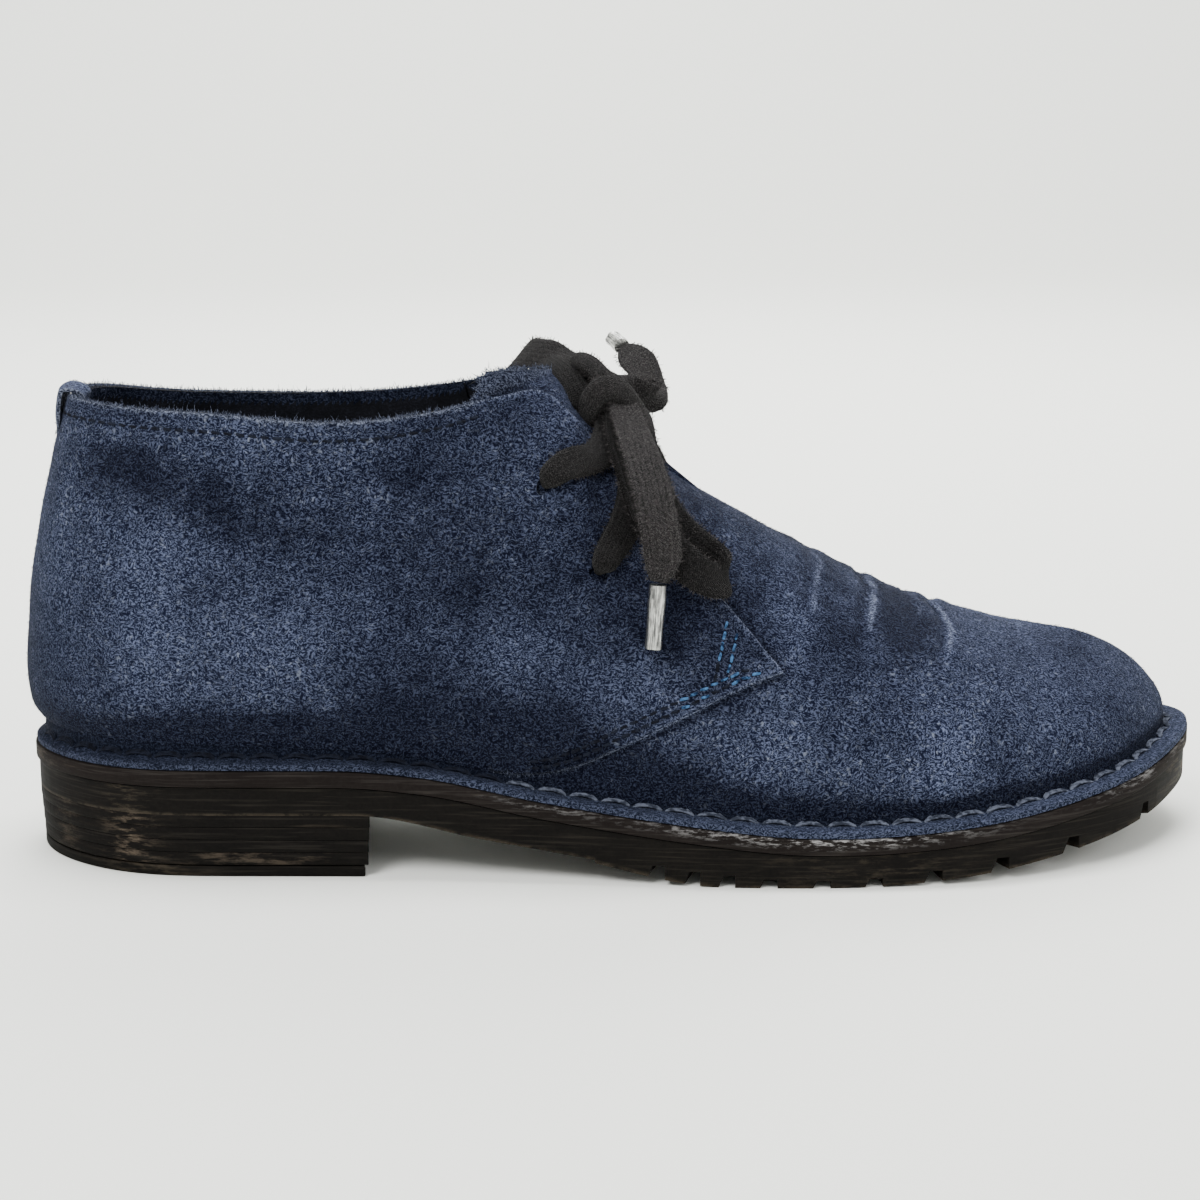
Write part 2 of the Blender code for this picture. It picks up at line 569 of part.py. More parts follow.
def outline(inset, spacing, start=0.0, end=2.0):
    """Points on the sole's edge, moved in by inset."""
    turns = np.linspace(start, end, 4001)
    line = edge(turns) + inward(turns) * inset
    run = np.concatenate([[0], np.cumsum(np.linalg.norm(np.diff(line, axis=0), axis=1))])
    count = int(run[-1] / spacing)
    even = np.linspace(0, run[-1], count + 1)
    return np.stack([np.interp(even, run, line[:, i]) for i in (0, 1)], -1)


def plan_points(border, spacing):
    low, high = border.min(0), border.max(0)
    x = np.arange(low[0] + spacing / 2, high[0], spacing)
    y = np.arange(low[1] + spacing * 1.5, high[1], spacing * 3)
    grid = np.stack(np.meshgrid(x, y), -1).reshape(-1, 2)
    return grid[inside(grid, border)]


def slab(name, border, levels, colour, roughness, parent, masks=None, lines=(), spacing=9.0):
    """A flat-pattern solid inside border; each level is a function of (x, y) arrays to points."""
    lines = [closed_line(border), *lines]
    flat, faces = triangulate(plan_points(border, spacing), lines, 2.0)
    centres = flat[faces].mean(1)
    body = inside(centres, border)
    faces, centres = faces[body], centres[body]
    layers = [np.ones(len(faces), bool)] if masks is None else masks(centres)
    points, out = layered(faces, layers, [level(flat) for level in levels])
    return make(name, points, out, colour, roughness, parent)


def at_height(height, shift=0.0, centre=(0.0, 0.0), across=1.0):
    """A level: height(x) over each point, with points drawn towards centre by shift at the rim."""
    def level(flat):
        away = flat - np.asarray(centre)
        size = np.maximum(np.linalg.norm(away * np.array([1.0, across]), axis=1, keepdims=True), 1e-9)
        moved = flat - away / size * shift
        return np.column_stack([moved, height(flat[:, 0])])
    return level


def groove(x, lean, length, width, side):
    """Outline of a notch that enters the tread from one side's edge."""
    turn = np.linspace(0, 1, 2001)
    line = edge(turn if side < 0 else 2 - turn)
    rim = line[np.argmin(np.abs(line[:, 0] - x))]
    into = np.array([lean, -float(side)])
    into /= np.linalg.norm(into)
    across = np.array([into[1], -into[0]]) * width / 2
    outer, inner = rim - into * 5, rim + into * length
    return np.array([outer + across, outer - across, inner - across * 0.7, inner + across * 0.7])


def tread_notches():
    """Outlines of the notches between the forepart's lugs, on both sides."""
    return [groove(*row, side) for side in (-1, 1) for row in NOTCHES]


def middle_channel():
    """Zigzag channels across the middle of the forepart: a closed outline for each."""
    bars = []
    for x in CHANNEL_AT:
        half = CHANNEL_REACH - max(0, x - 82) * 0.25
        middle = 2.0 + x * 0.04
        front = [(x + dx, middle + dy * half) for dx, dy in ((0, -1), (CHANNEL_POINT, 0), (0, 1))]
        back = [(px - CHANNEL_WIDTH, py) for px, py in reversed(front)]
        bars.append(np.array(front + back, float))
    return bars


def clip_to(border, shape):
    """The part of a notch's outline that lies inside border, as a line with its ends on it."""
    dense = []
    for start, end in zip(shape, np.roll(shape, -1, 0)):
        dense += [start + (end - start) * k / 60 for k in range(60)]
    dense = np.array(dense)
    kept = inside(dense, border)
    first = int(np.argmin(kept))
    order = (np.arange(len(dense)) + first) % len(dense)
    line = dense[order][kept[order]]
    corners = [line[0]]
    for before, here, after in zip(line[:-2], line[1:-1], line[2:]):
        one, two = here - before, after - here
        if abs(one[0] * two[1] - one[1] * two[0]) > 1e-4:
            corners.append(here)
    corners.append(line[-1])
    return np.array(corners)


def build_sole(parent):
    border = outline(0.0, 7.0)[:-1]
    slab("midsole", border, [at_height(lambda x: deck(x) - MIDSOLE), at_height(deck)],
         BROWN_BLACK, 0.7, parent)

    rubber = outline(0.7, 6.0)[:-1]
    notches = tread_notches()
    bars = middle_channel()
    step = np.array([(TREAD_START, -60.0), (TREAD_START, 60.0)])
    lines = [extended(clip_to(rubber, n), rubber) for n in notches]
    lines += [closed_line(bar) for bar in bars]
    lines.append(extended(clip_line(step, rubber), rubber))

    def masks(centres):
        lugs = centres[:, 0] > TREAD_START
        for shape in (*notches, *bars):
            lugs &= ~inside(centres, shape)
        return [lugs, np.ones(len(centres), bool)]

    slab("outsole", rubber,
         [at_height(tread_or_web), at_height(web), at_height(lambda x: deck(x) - MIDSOLE - GAP)],
         BLACK, 0.6, parent, masks, lines)


def tread_or_web(x):
    return np.where(np.asarray(x) < TREAD_START - 1e-3, web(x) - 0.5, tread(x))


def clip_line(line, border):
    dense = np.linspace(line[0], line[1], 400)
    kept = dense[inside(dense, border)]
    return np.array([kept[0], kept[-1]])


def extended(line, border):
    """The line with both ends moved on to the nearest point of border's own sides."""
    line = line.copy()
    for end in (0, -1):
        best, place = np.inf, None
        for start, stop in zip(border, np.roll(border, -1, 0)):
            run = stop - start
            share = np.clip((line[end] - start) @ run / (run @ run), 0, 1)
            near = start + share * run
            if np.linalg.norm(line[end] - near) < best:
                best, place = np.linalg.norm(line[end] - near), near
        line[end] = place
    return line


def turn_at(x, medial):
    """Turn of the sole's edge at x on one side, where the edge runs lengthwise."""
    turns = np.linspace(0.0, 0.8, 8001)
    turns = 2 - turns if medial else turns
    return turns[np.argmin(np.abs(edge(turns)[:, 0] - x))]


def heel_border(inset, breast, hollow):
    """Heel outline: the sole's edge behind the breast, closed by a slightly hollow front."""
    rim = outline(inset, 5.5, turn_at(breast, True) - 2, turn_at(breast, False))
    (_, high), (_, low) = rim[0], rim[-1]
    front = [
        (breast - hollow * (1 - (2 * s - 1)**2), low + (high - low) * s)
        for s in np.linspace(0, 1, 8)[1:-1]
    ]
    return np.vstack([rim, front])


def flat(height):
    return lambda x: 0 * x + height


def build_heel(parent):
    stack = heel_border(0.7, HEEL_BREAST, HEEL_HOLLOW)
    foot = at_height(flat(TOP_LIFT + GAP), HEEL_TAPER, HEEL_MIDDLE)
    slab("heel_stack", stack, [foot, at_height(flat(HEEL_TOP))], BROWN_BLACK, 0.7, parent, spacing=14.0)
    lift = heel_border(1.2, HEEL_BREAST - LIFT_BACK, HEEL_HOLLOW)
    foot = at_height(flat(0.0), 0.5, HEEL_MIDDLE)
    slab("top_lift", lift, [foot, at_height(flat(TOP_LIFT))], BLACK, 0.6, parent, spacing=14.0)


def build_insole(parent):
    turns = np.linspace(0, 2, 90, endpoint=False)
    room = closed(INSET, INSET, KNOTS, turns) + FLANGE + INSOLE_ROOM
    border = edge(turns) + inward(turns) * room[:, None]
    levels = [at_height(lambda x, up=up: deck(x) + GAP + up) for up in (0, INSOLE)]
    slab("insole", border, levels, LINING, 0.9, parent)


# ---- upper ----

def quarter_line(medial):
    """The quarter's front edge on the pattern, from the flange to the collar."""
    places = [pattern_place(x, z, medial) for _, x, z in QUARTER_EDGE]
    places[0][1] = 0.0
    places.append(np.array([top_place(COLLAR_END_X), TOP]))
    return np.array(places)


def throat_line(medial):
    """The base layer's throat on the pattern, from the collar to the ridge."""
    places = [np.array([top_place(THROAT_REAR_X), TOP])]
    places += [pattern_place(x, z, medial) for _, x, z in THROAT_EDGE]
    places.append(np.array([top_place(THROAT_RIDGE_X), TOP]))
    return np.array(places)


def rounded(line, passes=2):
    """The line with its inner corners cut off, twice over."""
    for _ in range(passes):
        cut = [line[0]]
        for start, end in zip(line[:-1], line[1:]):
            cut += [start * 0.75 + end * 0.25, start * 0.25 + end * 0.75]
        line = np.array([*cut, line[-1]])
    return line


def mirrored(line):
    return np.column_stack([2 * HALF_TURN - line[:, 0], line[:, 1]])


def eyelet_ring(x, z, medial, sides=8):
    a, b = pattern_place(x, z, medial)
    here = surface(2 * HALF_TURN - a if medial else a, b)
    step = 0.5
    stretch_a = np.linalg.norm(surface((2 * HALF_TURN - a if medial else a) + step, b) - here) / step
    stretch_b = np.linalg.norm(surface(2 * HALF_TURN - a if medial else a, b + step) - here) / step
    angles = np.arange(sides) * 2 * math.pi / sides
    return np.column_stack([
        a + np.cos(angles) * EYELET_RADIUS / stretch_a,
        b + np.sin(angles) * EYELET_RADIUS / stretch_b,
    ])


PATTERN_ROWS = (0, 5, 11, 18, 27, 37, 47, 57, 66, 74, 81, 87, 92, 96, TOP)
FLANGE_ROWS = (-SKIRT, -5.0, -2.5)
PATTERN_COLUMNS = 72


def pattern_grid(rows):
    a = np.arange(PATTERN_COLUMNS + 1) * 2 * HALF_TURN / PATTERN_COLUMNS
    return np.stack(np.meshgrid(a, rows), -1).reshape(-1, 2)


def tongue_border(medial):
    """Half of the tongue on the pattern, clear of the throat's edge."""
    line = rounded(throat_line(medial))
    along = np.gradient(line, axis=0)
    along /= np.linalg.norm(along, axis=1, keepdims=True)
    moved = line + np.column_stack([-along[:, 1], along[:, 0]]) * TONGUE_GAP
    moved[0] = top_place(TONGUE_REAR_X[0]), TOP
    moved[-1] = line[-1] - (TONGUE_GAP, 0)
    middle = RIDGE_START * HALF_TURN
    corner = (top_place(TONGUE_REAR_X[1]), TOP + TONGUE_RISE[medial])
    return np.vstack([moved, [(middle, TOP), (middle, TOP + TONGUE_MIDDLE_RISE), corner]])


def upper_pattern():
    """Faces of the whole pattern on the boot, and masks of the layers that they carry.

    Returns the pattern places, the points, their normals, the faces, and the masks of the
    quarters, of the base layer and of the tongue.
    """
    quarters, throats, tongues, holes, lines = [], [], [], [], []
    for medial in (False, True):
        flip = mirrored if medial else np.array
        front_edge, throat = flip(quarter_line(medial)), flip(rounded(throat_line(medial)))
        heel = 2 * HALF_TURN if medial else 0.0
        above = TOP + 20
        lines += [front_edge, throat]
        quarters.append(np.vstack([front_edge, [(heel, TOP), (heel, 0.0)]]))
        throats.append(np.vstack([throat, [(throat[-1, 0], above), (throat[0, 0], above)]]))
        tongues.append(flip(tongue_border(medial)))
        holes += [flip(eyelet_ring(x, z, medial)) for _, x, z in EYELETS]
    lines += [closed_line(shape) for shape in (*holes, *tongues)]
    flat, faces = triangulate(pattern_grid((*FLANGE_ROWS, *PATTERN_ROWS)), lines, 1.6)
    centres = flat[faces].mean(1)

    def within(shapes):
        return np.any([inside(centres, shape) for shape in shapes], axis=0)

    tongue = within(tongues)
    kept = (centres[:, 1] < TOP) | tongue
    upper = centres[:, 1] < TOP
    quarter = within(quarters) & (centres[:, 1] > 0) & ~within(holes)
    base = upper & ~within(throats) & ~within(holes)
    points = surface(flat[:, 0], flat[:, 1])
    faces = weld(points)[faces]
    normals = vertex_normals(points, faces[kept])
    return flat, points, normals, faces[kept], quarter[kept], base[kept], tongue[kept]


def build_upper(parent):
    """The upper with its quarters, and the tongue under the facings a little above the collar."""
    flat, points, normals, faces, quarter, base, tongue = upper_pattern()
    grow = np.clip(flat[:, 1] / 12.0, 0, 1)
    thick = OVERLAY_FOOT + (OVERLAY - OVERLAY_FOOT) * grow * grow * (3 - 2 * grow)
    levels = [points - normals * FLANGE, points, points + normals * thick[:, None]]
    make("upper", *layered(faces, [base, quarter], levels), NAVY, 0.95, parent)
    levels = [points - normals * (GAP + TONGUE), points - normals * GAP]
    make("tongue", *layered(faces, [tongue], levels), NAVY, 0.95, parent)


# ---- back tab ----

def frame(a, b):
    """Place, outward normal and upward direction of the base layer's outer face."""
    step = 0.5
    here = surface(a, b)
    around = surface(a + step, b) - surface(a - step, b)
    up = here - surface(a, b - step)
    up /= np.linalg.norm(up, axis=-1, keepdims=True)
    out = np.cross(around, up)
    return here, out / np.linalg.norm(out, axis=-1, keepdims=True), up


def tab_level(height):
    """The tab's face at a height over what it lies on; y runs from its outer end to its inner one."""
    stretch = np.linalg.norm(surface(1.0, TOP) - surface(-1.0, TOP)) / 2
    down = TOP / np.linalg.norm(surface(0.0, TOP) - surface(0.0, 0.0))
    outer_seat, inner_seat = OVERLAY + TAB_STAND_OFF, FLANGE + TAB_SLACK
    radius, middle = (outer_seat + inner_seat) / 2, (outer_seat - inner_seat) / 2

    def level(flat):
        a, y = flat[:, 0] / stretch, flat[:, 1]
        outside, inner_start = y < TAB_OUTSIDE, TAB_OUTSIDE + math.pi * radius
        depth = np.where(outside, TAB_OUTSIDE - y, np.clip(y - inner_start, 0, None))
        here, out, up = frame(a, TOP - depth * down)
        ease = np.clip(y / TAB_OUTSIDE, 0, 1)
        ease = ease * ease * (3 - 2 * ease)
        off = np.where(outside, OVERLAY + GAP + (TAB_STAND_OFF - GAP) * ease + height, middle)
        off = np.where(y > inner_start, -inner_seat - height, off)[:, None]
        turned = np.clip((y - TAB_OUTSIDE) / radius, 0, math.pi)
        folding = (~outside & (y <= inner_start))[:, None]
        arc = np.cos(turned)[:, None] * out * (radius + height)
        arc += np.sin(turned)[:, None] * up * (TAB_FOLD + height)
        return here + out * off + np.where(folding, arc, 0)
    return level


def build_back_tab(parent):
    """Narrow leather tab folded over the collar at the back."""
    radius = (OVERLAY + TAB_STAND_OFF + FLANGE + TAB_SLACK) / 2
    length = TAB_OUTSIDE + math.pi * radius + TAB_INSIDE
    angles = np.linspace(0, math.pi, 9)
    low = np.column_stack([-np.cos(angles), 0.8 - 0.8 * np.sin(angles)]) * TAB_HALF_WIDTH
    high = np.column_stack([np.cos(angles), np.sin(angles) - 1]) * (TAB_HALF_WIDTH, 2.0) + (0, length)
    rise = np.linspace(low[-1, 1], high[0, 1], 16)[1:-1]
    side = np.column_stack([np.full(len(rise), TAB_HALF_WIDTH), rise])
    border = np.vstack([low, side, high, side[::-1] * (-1, 1)])
    grid = np.stack(np.meshgrid(np.arange(-6, 7, 3.0), np.arange(2, length, 1.5)), -1).reshape(-1, 2)
    flat, faces = triangulate(grid, [closed_line(border)], 0.8)
    faces = faces[inside(flat[faces].mean(1), border)]
    levels = [tab_level(height)(flat) for height in (0, TAB_THICKNESS)]
    places, out = layered(faces, [np.ones(len(faces), bool)], levels)
    make("back_tab", places, out, NAVY, 0.95, parent)


# ---- lace ----

def band(rows, step=LACE_STEP, thickness=LACE):
    """Points and faces of a flat band with rounded edges along a table's rows."""
    rows = np.array(rows)
    run = np.concatenate([[0], np.cumsum(np.linalg.norm(np.diff(rows[:, :3], axis=0), axis=1))])
    count = max(3, round(run[-1] / step) + 1)
    at = np.linspace(0, run[-1], count)
    line = np.stack([spline(run, rows[:, i], at) for i in range(3)], -1)
    facing = np.stack([glide(run, rows[:, i], at) for i in range(3, 6)], -1)
    width = glide(run, rows[:, 6], at)
    along = np.gradient(line, axis=0)
    along /= np.linalg.norm(along, axis=1, keepdims=True)
    facing -= along * np.sum(facing * along, axis=1, keepdims=True)
    facing /= np.linalg.norm(facing, axis=1, keepdims=True)
    across = np.cross(along, facing)
    section = np.array([(-0.5, 0.0), (-0.4, 0.5), (0.4, 0.5), (0.5, 0.0), (0.4, -0.5), (-0.4, -0.5)])
    points = line[:, None] + across[:, None] * section[:, :1] * width[:, None, None]
    points = (points + facing[:, None] * section[:, 1:] * thickness).reshape(-1, 3)
    size = len(section)
    faces = []
    for i in range(count - 1):
        for j in range(size):
            k = (j + 1) % size
            faces.append((i * size + j, i * size + k, (i + 1) * size + k, (i + 1) * size + j))
    faces.append(tuple(range(size))[::-1])
    faces.append(tuple(range((count - 1) * size, count * size)))
    return points, faces


def joined(name, tables, parent):
    """One solid of several bands that run into each other."""
    first, *others = [make(name, *band(rows), CHARCOAL, 0.95, parent) for rows in tables]
    for other in others:
        union = first.modifiers.new("joined", "BOOLEAN")
        union.operation = "UNION"
        union.solver = "EXACT"
        union.object = other
        bpy.context.view_layer.objects.active = first
        bpy.ops.object.modifier_apply(modifier=union.name)
        bpy.data.objects.remove(other, do_unlink=True)


def rod(name, ends, radius, colour, roughness, metallic, parent, sides=10):
    start, end = (np.array(p) for p in ends)
    along = (end - start) / np.linalg.norm(end - start)
    across = np.cross(along, (1.0, 0.0, 0.0))
    across /= np.linalg.norm(across)
    angles = np.arange(sides) * 2 * math.pi / sides
    other = np.cross(along, across)
    ring = (np.cos(angles)[:, None] * across + np.sin(angles)[:, None] * other) * radius
    points = np.vstack([start + ring, end + ring])
    faces = [(j, (j + 1) % sides, sides + (j + 1) % sides, sides + j) for j in range(sides)]
    faces += [tuple(range(sides))[::-1], tuple(range(sides, 2 * sides))]
    make(name, points, faces, colour, roughness, parent, metallic)


def build_knot(parent):
    """The bow's knot as one rounded lump."""
    centre, half, turn = LACE_KNOT
    angle = math.radians(turn)
    rings, sides, points = KNOT_RINGS, KNOT_SIDES, []
    for i in range(1, rings):
        polar = math.pi * i / rings
        for j in range(sides):
            round_ = 2 * math.pi * j / sides
            x = half[0] * math.sin(polar) * math.cos(round_)
            y = half[1] * math.cos(polar)
            z = half[2] * math.sin(polar) * math.sin(round_)
            leant_x = x * math.cos(angle) + z * math.sin(angle)
            leant_z = z * math.cos(angle) - x * math.sin(angle)
            points.append((leant_x, y, leant_z))
    points = [(0.0, half[1], 0.0), *points, (0.0, -half[1], 0.0)]
    last = len(points) - 1
    faces = []
    for j in range(sides):
        k = (j + 1) % sides
        faces.append((0, 1 + k, 1 + j))
        faces.append((last, last - sides + j, last - sides + k))
        for i in range(rings - 2):
            low, high = 1 + i * sides, 1 + (i + 1) * sides
            faces.append((low + j, low + k, high + k, high + j))
    make("lace_knot", np.array(points) + centre, faces, CHARCOAL, 0.95, parent)


def build_lace(parent):
    joined("lace_bars", (LACE_TOP_BAR, LACE_CROSSING_NEAR, LACE_CROSSING_FAR), parent)
    build_knot(parent)
    for name, rows in (
        ("lace_low_bar", LACE_LOW_BAR),
        ("lace_loop_near", LACE_LOOP_NEAR),
        ("lace_loop_far", LACE_LOOP_FAR),
        ("lace_end_near", LACE_END_NEAR),
        ("lace_end_far", LACE_END_FAR),
    ):
        make(name, *band(rows), CHARCOAL, 0.95, parent)
    rod("aglet_near", AGLET_NEAR, AGLET_RADIUS, STEEL, 0.35, 1.0, parent)
    rod("aglet_far", AGLET_FAR, AGLET_RADIUS, STEEL, 0.35, 1.0, parent)


def main():
    for old in list(bpy.data.objects):
        bpy.data.objects.remove(old, do_unlink=True)
    boot = bpy.data.objects.new("ankle_boot", None)
    bpy.context.collection.objects.link(boot)
    build_sole(boot)
    build_heel(boot)
    build_insole(boot)
    build_upper(boot)
    build_back_tab(boot)
    build_lace(boot)


main()
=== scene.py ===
"""Ankle boot: the looks of a right-foot, two-eyelet suede chukka on a stitched-down sole.

Lengths in the tables are millimetres in the boot's own frame: +Z up, toe towards +X, the
outer (little toe) side towards -Y, the origin on the floor under the middle of the sole.
"""

import math

import bmesh
import bpy
import numpy as np
from mathutils import Matrix, Vector, kdtree, noise
from mathutils.geometry import delaunay_2d_cdt


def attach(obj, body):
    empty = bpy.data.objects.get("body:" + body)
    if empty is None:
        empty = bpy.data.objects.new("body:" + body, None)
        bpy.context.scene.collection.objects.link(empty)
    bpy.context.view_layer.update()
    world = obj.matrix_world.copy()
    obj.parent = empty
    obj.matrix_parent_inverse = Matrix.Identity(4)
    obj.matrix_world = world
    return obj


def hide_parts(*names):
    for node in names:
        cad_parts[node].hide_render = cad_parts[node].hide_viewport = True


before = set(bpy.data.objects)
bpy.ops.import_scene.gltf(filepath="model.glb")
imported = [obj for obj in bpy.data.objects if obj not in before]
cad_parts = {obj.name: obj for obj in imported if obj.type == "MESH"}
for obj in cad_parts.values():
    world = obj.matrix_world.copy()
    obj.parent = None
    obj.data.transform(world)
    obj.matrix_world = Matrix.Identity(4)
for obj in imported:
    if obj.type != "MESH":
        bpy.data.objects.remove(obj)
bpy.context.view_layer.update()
MM = 0.001

# ---- sizes repeated from the part ----
GAP = 0.3
MIDSOLE = 4.0
FLANGE = 1.6
OVERLAY = 1.4
OVERLAY_FOOT = 0.3
HALF_TURN = 330.0
TOP = 100.0
SKIRT = 8.0
TREAD_START = -7.0
HEEL_BREAST = -62.5
HEEL_TOP = 16.3
TOP_LIFT = 2.8
SPRING_START = 47.0
TOE_SPRING = 13.4
SOLE_TOE = 151.0
AROUND = 2 * HALF_TURN  # pattern length once round the boot

# ---- the boot round its edge: one row a section, the same x on both sides ----
# x and y: the sole's edge. inset: from it to the foot line. rise: foot line above the flange.
# top: the top line's x, lateral y, medial y, lateral z, medial z (the ridge: both sides alike).
# bulge, lift: first handle of the section's curve, outwards and up from the foot.
# reach, drop: second handle, back from the top line and down from it.
SECTIONS = (
    # name, x, lat, med, inset, rise, top x, top lat, top med, z lat, z med, bulge, lift, reach, drop
    ("heel back", -151.0, 0.0, 0.0, 2.8, 4.5, -136.6, 0.0, 0.0, 117.0, 117.0, 7.2, 10, 10.3, 26),
    ("heel corner", -142.5, -19.5, 19.5, 3.6, 4.5, -132.3, -11.5, 11.5, 116.6, 117.2, 6.4, 12, 7.2, 26),
    ("heel side", -122.0, -33.0, 31.5, 4.8, 4.3, -117.5, -21.0, 21.0, 115.8, 114.6, 4.8, 26, 3.0, 28),
    ("heel", -97.0, -36.5, 33.0, 5.0, 3.6, -97.0, -26.0, 26.0, 114.9, 113.0, 4.4, 27, 1.5, 28),
    ("breast", -70.0, -37.7, 31.5, 5.2, 2.6, -70.0, -27.0, 27.0, 112.8, 112.6, 4.2, 28, 1.0, 28),
    ("waist rear", -46.0, -39.2, 29.5, 5.6, 2.0, -46.0, -25.5, 25.5, 114.8, 114.4, 3.8, 32, 1.5, 26),
    ("waist", -24.0, -41.8, 29.0, 6.0, 1.6, -29.0, -20.5, 20.5, 118.4, 117.6, 3.4, 40, 5.0, 18),
    ("instep top", -2.0, -45.0, 33.5, 6.2, 1.5, -15.0, 1.0, 1.0, 121.4, 121.4, 3.2, 52, 25.0, 0),
    ("instep", 20.0, -48.3, 41.5, 6.4, 1.5, 10.0, 2.0, 2.0, 98.2, 98.2, 3.6, 42, 25.0, 0),
    ("ball rear", 44.0, -50.2, 49.3, 6.5, 1.5, 36.0, 3.0, 3.0, 81.5, 81.5, 4.2, 34, 26.0, 0),
    ("ball", 68.0, -50.0, 51.8, 6.5, 1.5, 62.0, 4.0, 4.0, 66.8, 66.8, 4.6, 27, 27.0, 0),
    ("ball front", 92.0, -46.8, 50.0, 6.5, 1.5, 82.0, 5.0, 5.0, 59.1, 59.1, 4.4, 22, 26.0, 0),
    ("toe side", 114.0, -38.5, 45.0, 6.5, 1.5, 96.0, 6.0, 6.0, 54.8, 54.8, 3.6, 19, 22.0, 0),
    ("toe shoulder", 131.0, -27.5, 38.0, 6.5, 1.5, 105.0, 6.6, 6.6, 52.8, 52.8, 2.6, 16, 19.0, 0),
    ("toe corner", 144.0, -11.5, 26.5, 6.5, 1.5, 110.0, 7.0, 7.0, 52.0, 52.0, 1.6, 13, 17.0, 0),
    ("toe tip", 151.0, 7.5, 7.5, 6.5, 1.5, 112.0, 7.2, 7.2, 51.8, 51.8, 1.0, 12, 16.0, 0),
)
INSTEP_TOP = 7         # the row where the collar ends and the ridge begins

# top of the midsole, and underside of the rubber behind the forepart: x, z
DECK = ((-151, 27.4), (-110, 27.5), (-70, 27.4), (-50, 25.8), (-20, 20.2), (15, 15.4), (45, 12.6),
        (60, 12.3))
WAIST = ((-151, 16.6), (-66, 16.6), (-35, 11.0), (TREAD_START, 6.6))
TREAD = ((TREAD_START, 5.3), (6, 2.4), (14, 0.9), (22, 0.1), (26, 0.0), (SPRING_START, 0.0))
LUG_DEPTH = ((TREAD_START, 1.3), (8, 3.2), (20, 3.4), (34, 2.2), (50, 1.9), (64, 2.2),
             (78, 2.8), (100, 3.4))

# the quarters' front edge, and the base layer's throat under it: x and z as seen from the side
QUARTER_EDGE = (
    ("at the flange", -32.0, 23.5),
    ("seam rear", -18.0, 26.4),
    ("seam", 6.5, 37.0),
    ("seam front", 27.0, 47.2),
    ("corner", 39.6, 51.4),
    ("facing foot", 33.0, 59.0),
    ("facing low", 24.4, 69.0),
    ("facing", 8.0, 89.0),
    ("facing high", -5.5, 104.5),
    ("facing top", -10.0, 110.0),
    ("front corner", -15.5, 115.8),
    ("hump", -23.0, 118.3),
)
THROAT_EDGE = (
    ("under the quarter", -33.0, 92.0),
    ("below the eyelets", -22.0, 70.0),
    ("lowest", -6.0, 62.0),
    ("front", 9.0, 68.0),
    ("at the facing", 17.0, 78.0),
)
COLLAR_END_X = -33.0   # where the quarter's edge meets the collar
THROAT_REAR_X = -39.0  # where the throat's edge meets the collar
THROAT_RIDGE_X = 23.0  # where it crosses the ridge
EYELETS = (("top", -18.2, 96.8), ("bottom", -5.4, 76.4))
EYELET_RADIUS = 2.3
TONGUE_REAR_X = (-35.8, -28.5)  # of the tongue's sides at the collar, and of its corners' roots
TONGUE_RISE = (7.0, 1.8)  # of the tongue's near and far rear corners above the collar
TONGUE_MIDDLE_RISE = 0.8
TONGUE_GAP = 0.8       # between the tongue and the throat's edge, along the surface
TAB_HALF_WIDTH = 5.5
TAB_OUTSIDE = 10.5     # down the outside of the collar
TAB_INSIDE = 7.0
TAB_THICKNESS = 1.1
TAB_STAND_OFF = 1.3    # of the tab from the collar at its fold, outside
TAB_SLACK = 0.3        # of the tab from the lining, inside
TAB_FOLD = 0.5         # height of the fold's underside over the collar

# ---- the lace: flat bands, each row a place on the centreline, the way it faces, and its width ----
# over the tongue from the upper eyelets to the knot's underside, and from the lower eyelets across
LACE_TOP_BAR = (
    # x      y      z      facing           width
    (-17.4, -29.2, 98.8, -0.1, -0.9, 0.35, 5.0),
    (-14.4, -28.9, 101.3, -0.1, -0.9, 0.4, 7.0),
    (-10.8, -27.2, 102.6, 0.15, -0.88, 0.4, 8.0),
    (-7.0, -24.8, 102.9, 0.35, -0.78, 0.5, 8.0),
    (-4.0, -20.6, 104.4, 0.45, -0.6, 0.6, 8.0),
    (-2.2, -10.0, 109.6, 0.6, -0.35, 0.7, 8.0),
    (-1.8, 2.0, 111.8, 0.68, 0.0, 0.72, 8.0),
    (-2.2, 9.0, 111.4, 0.65, 0.3, 0.7, 8.0),
    (-4.2, 16.6, 109.7, 0.5, 0.6, 0.6, 8.0),
    (-7.9, 22.6, 106.7, 0.3, 0.8, 0.4, 8.0),
    (-12.6, 25.0, 102.6, 0.0, 0.97, 0.25, 7.0),
    (-17.2, 25.2, 98.8, -0.1, 0.97, 0.2, 5.0),
)
LACE_CROSSING_NEAR = (
    (-4.4, -35.9, 78.4, 0.15, -0.93, 0.3, 5.0),
    (-2.4, -34.2, 81.8, 0.12, -0.92, 0.35, 7.0),
    (0.5, -31.6, 86.2, 0.2, -0.9, 0.4, 8.0),
    (2.6, -27.4, 91.4, 0.4, -0.8, 0.5, 8.0),
    (3.4, -23.0, 97.1, 0.5, -0.65, 0.6, 8.0),
    (3.0, -17.4, 101.7, 0.6, -0.5, 0.65, 8.0),
    (1.7, -10.0, 106.0, 0.6, -0.3, 0.7, 8.0),
    (0.5, -3.5, 109.4, 0.65, -0.1, 0.75, 8.0),
    (-1.2, 3.4, 111.1, 0.65, 0.15, 0.75, 8.0),
    (-3.0, 9.4, 110.2, 0.6, 0.4, 0.7, 7.0),
)
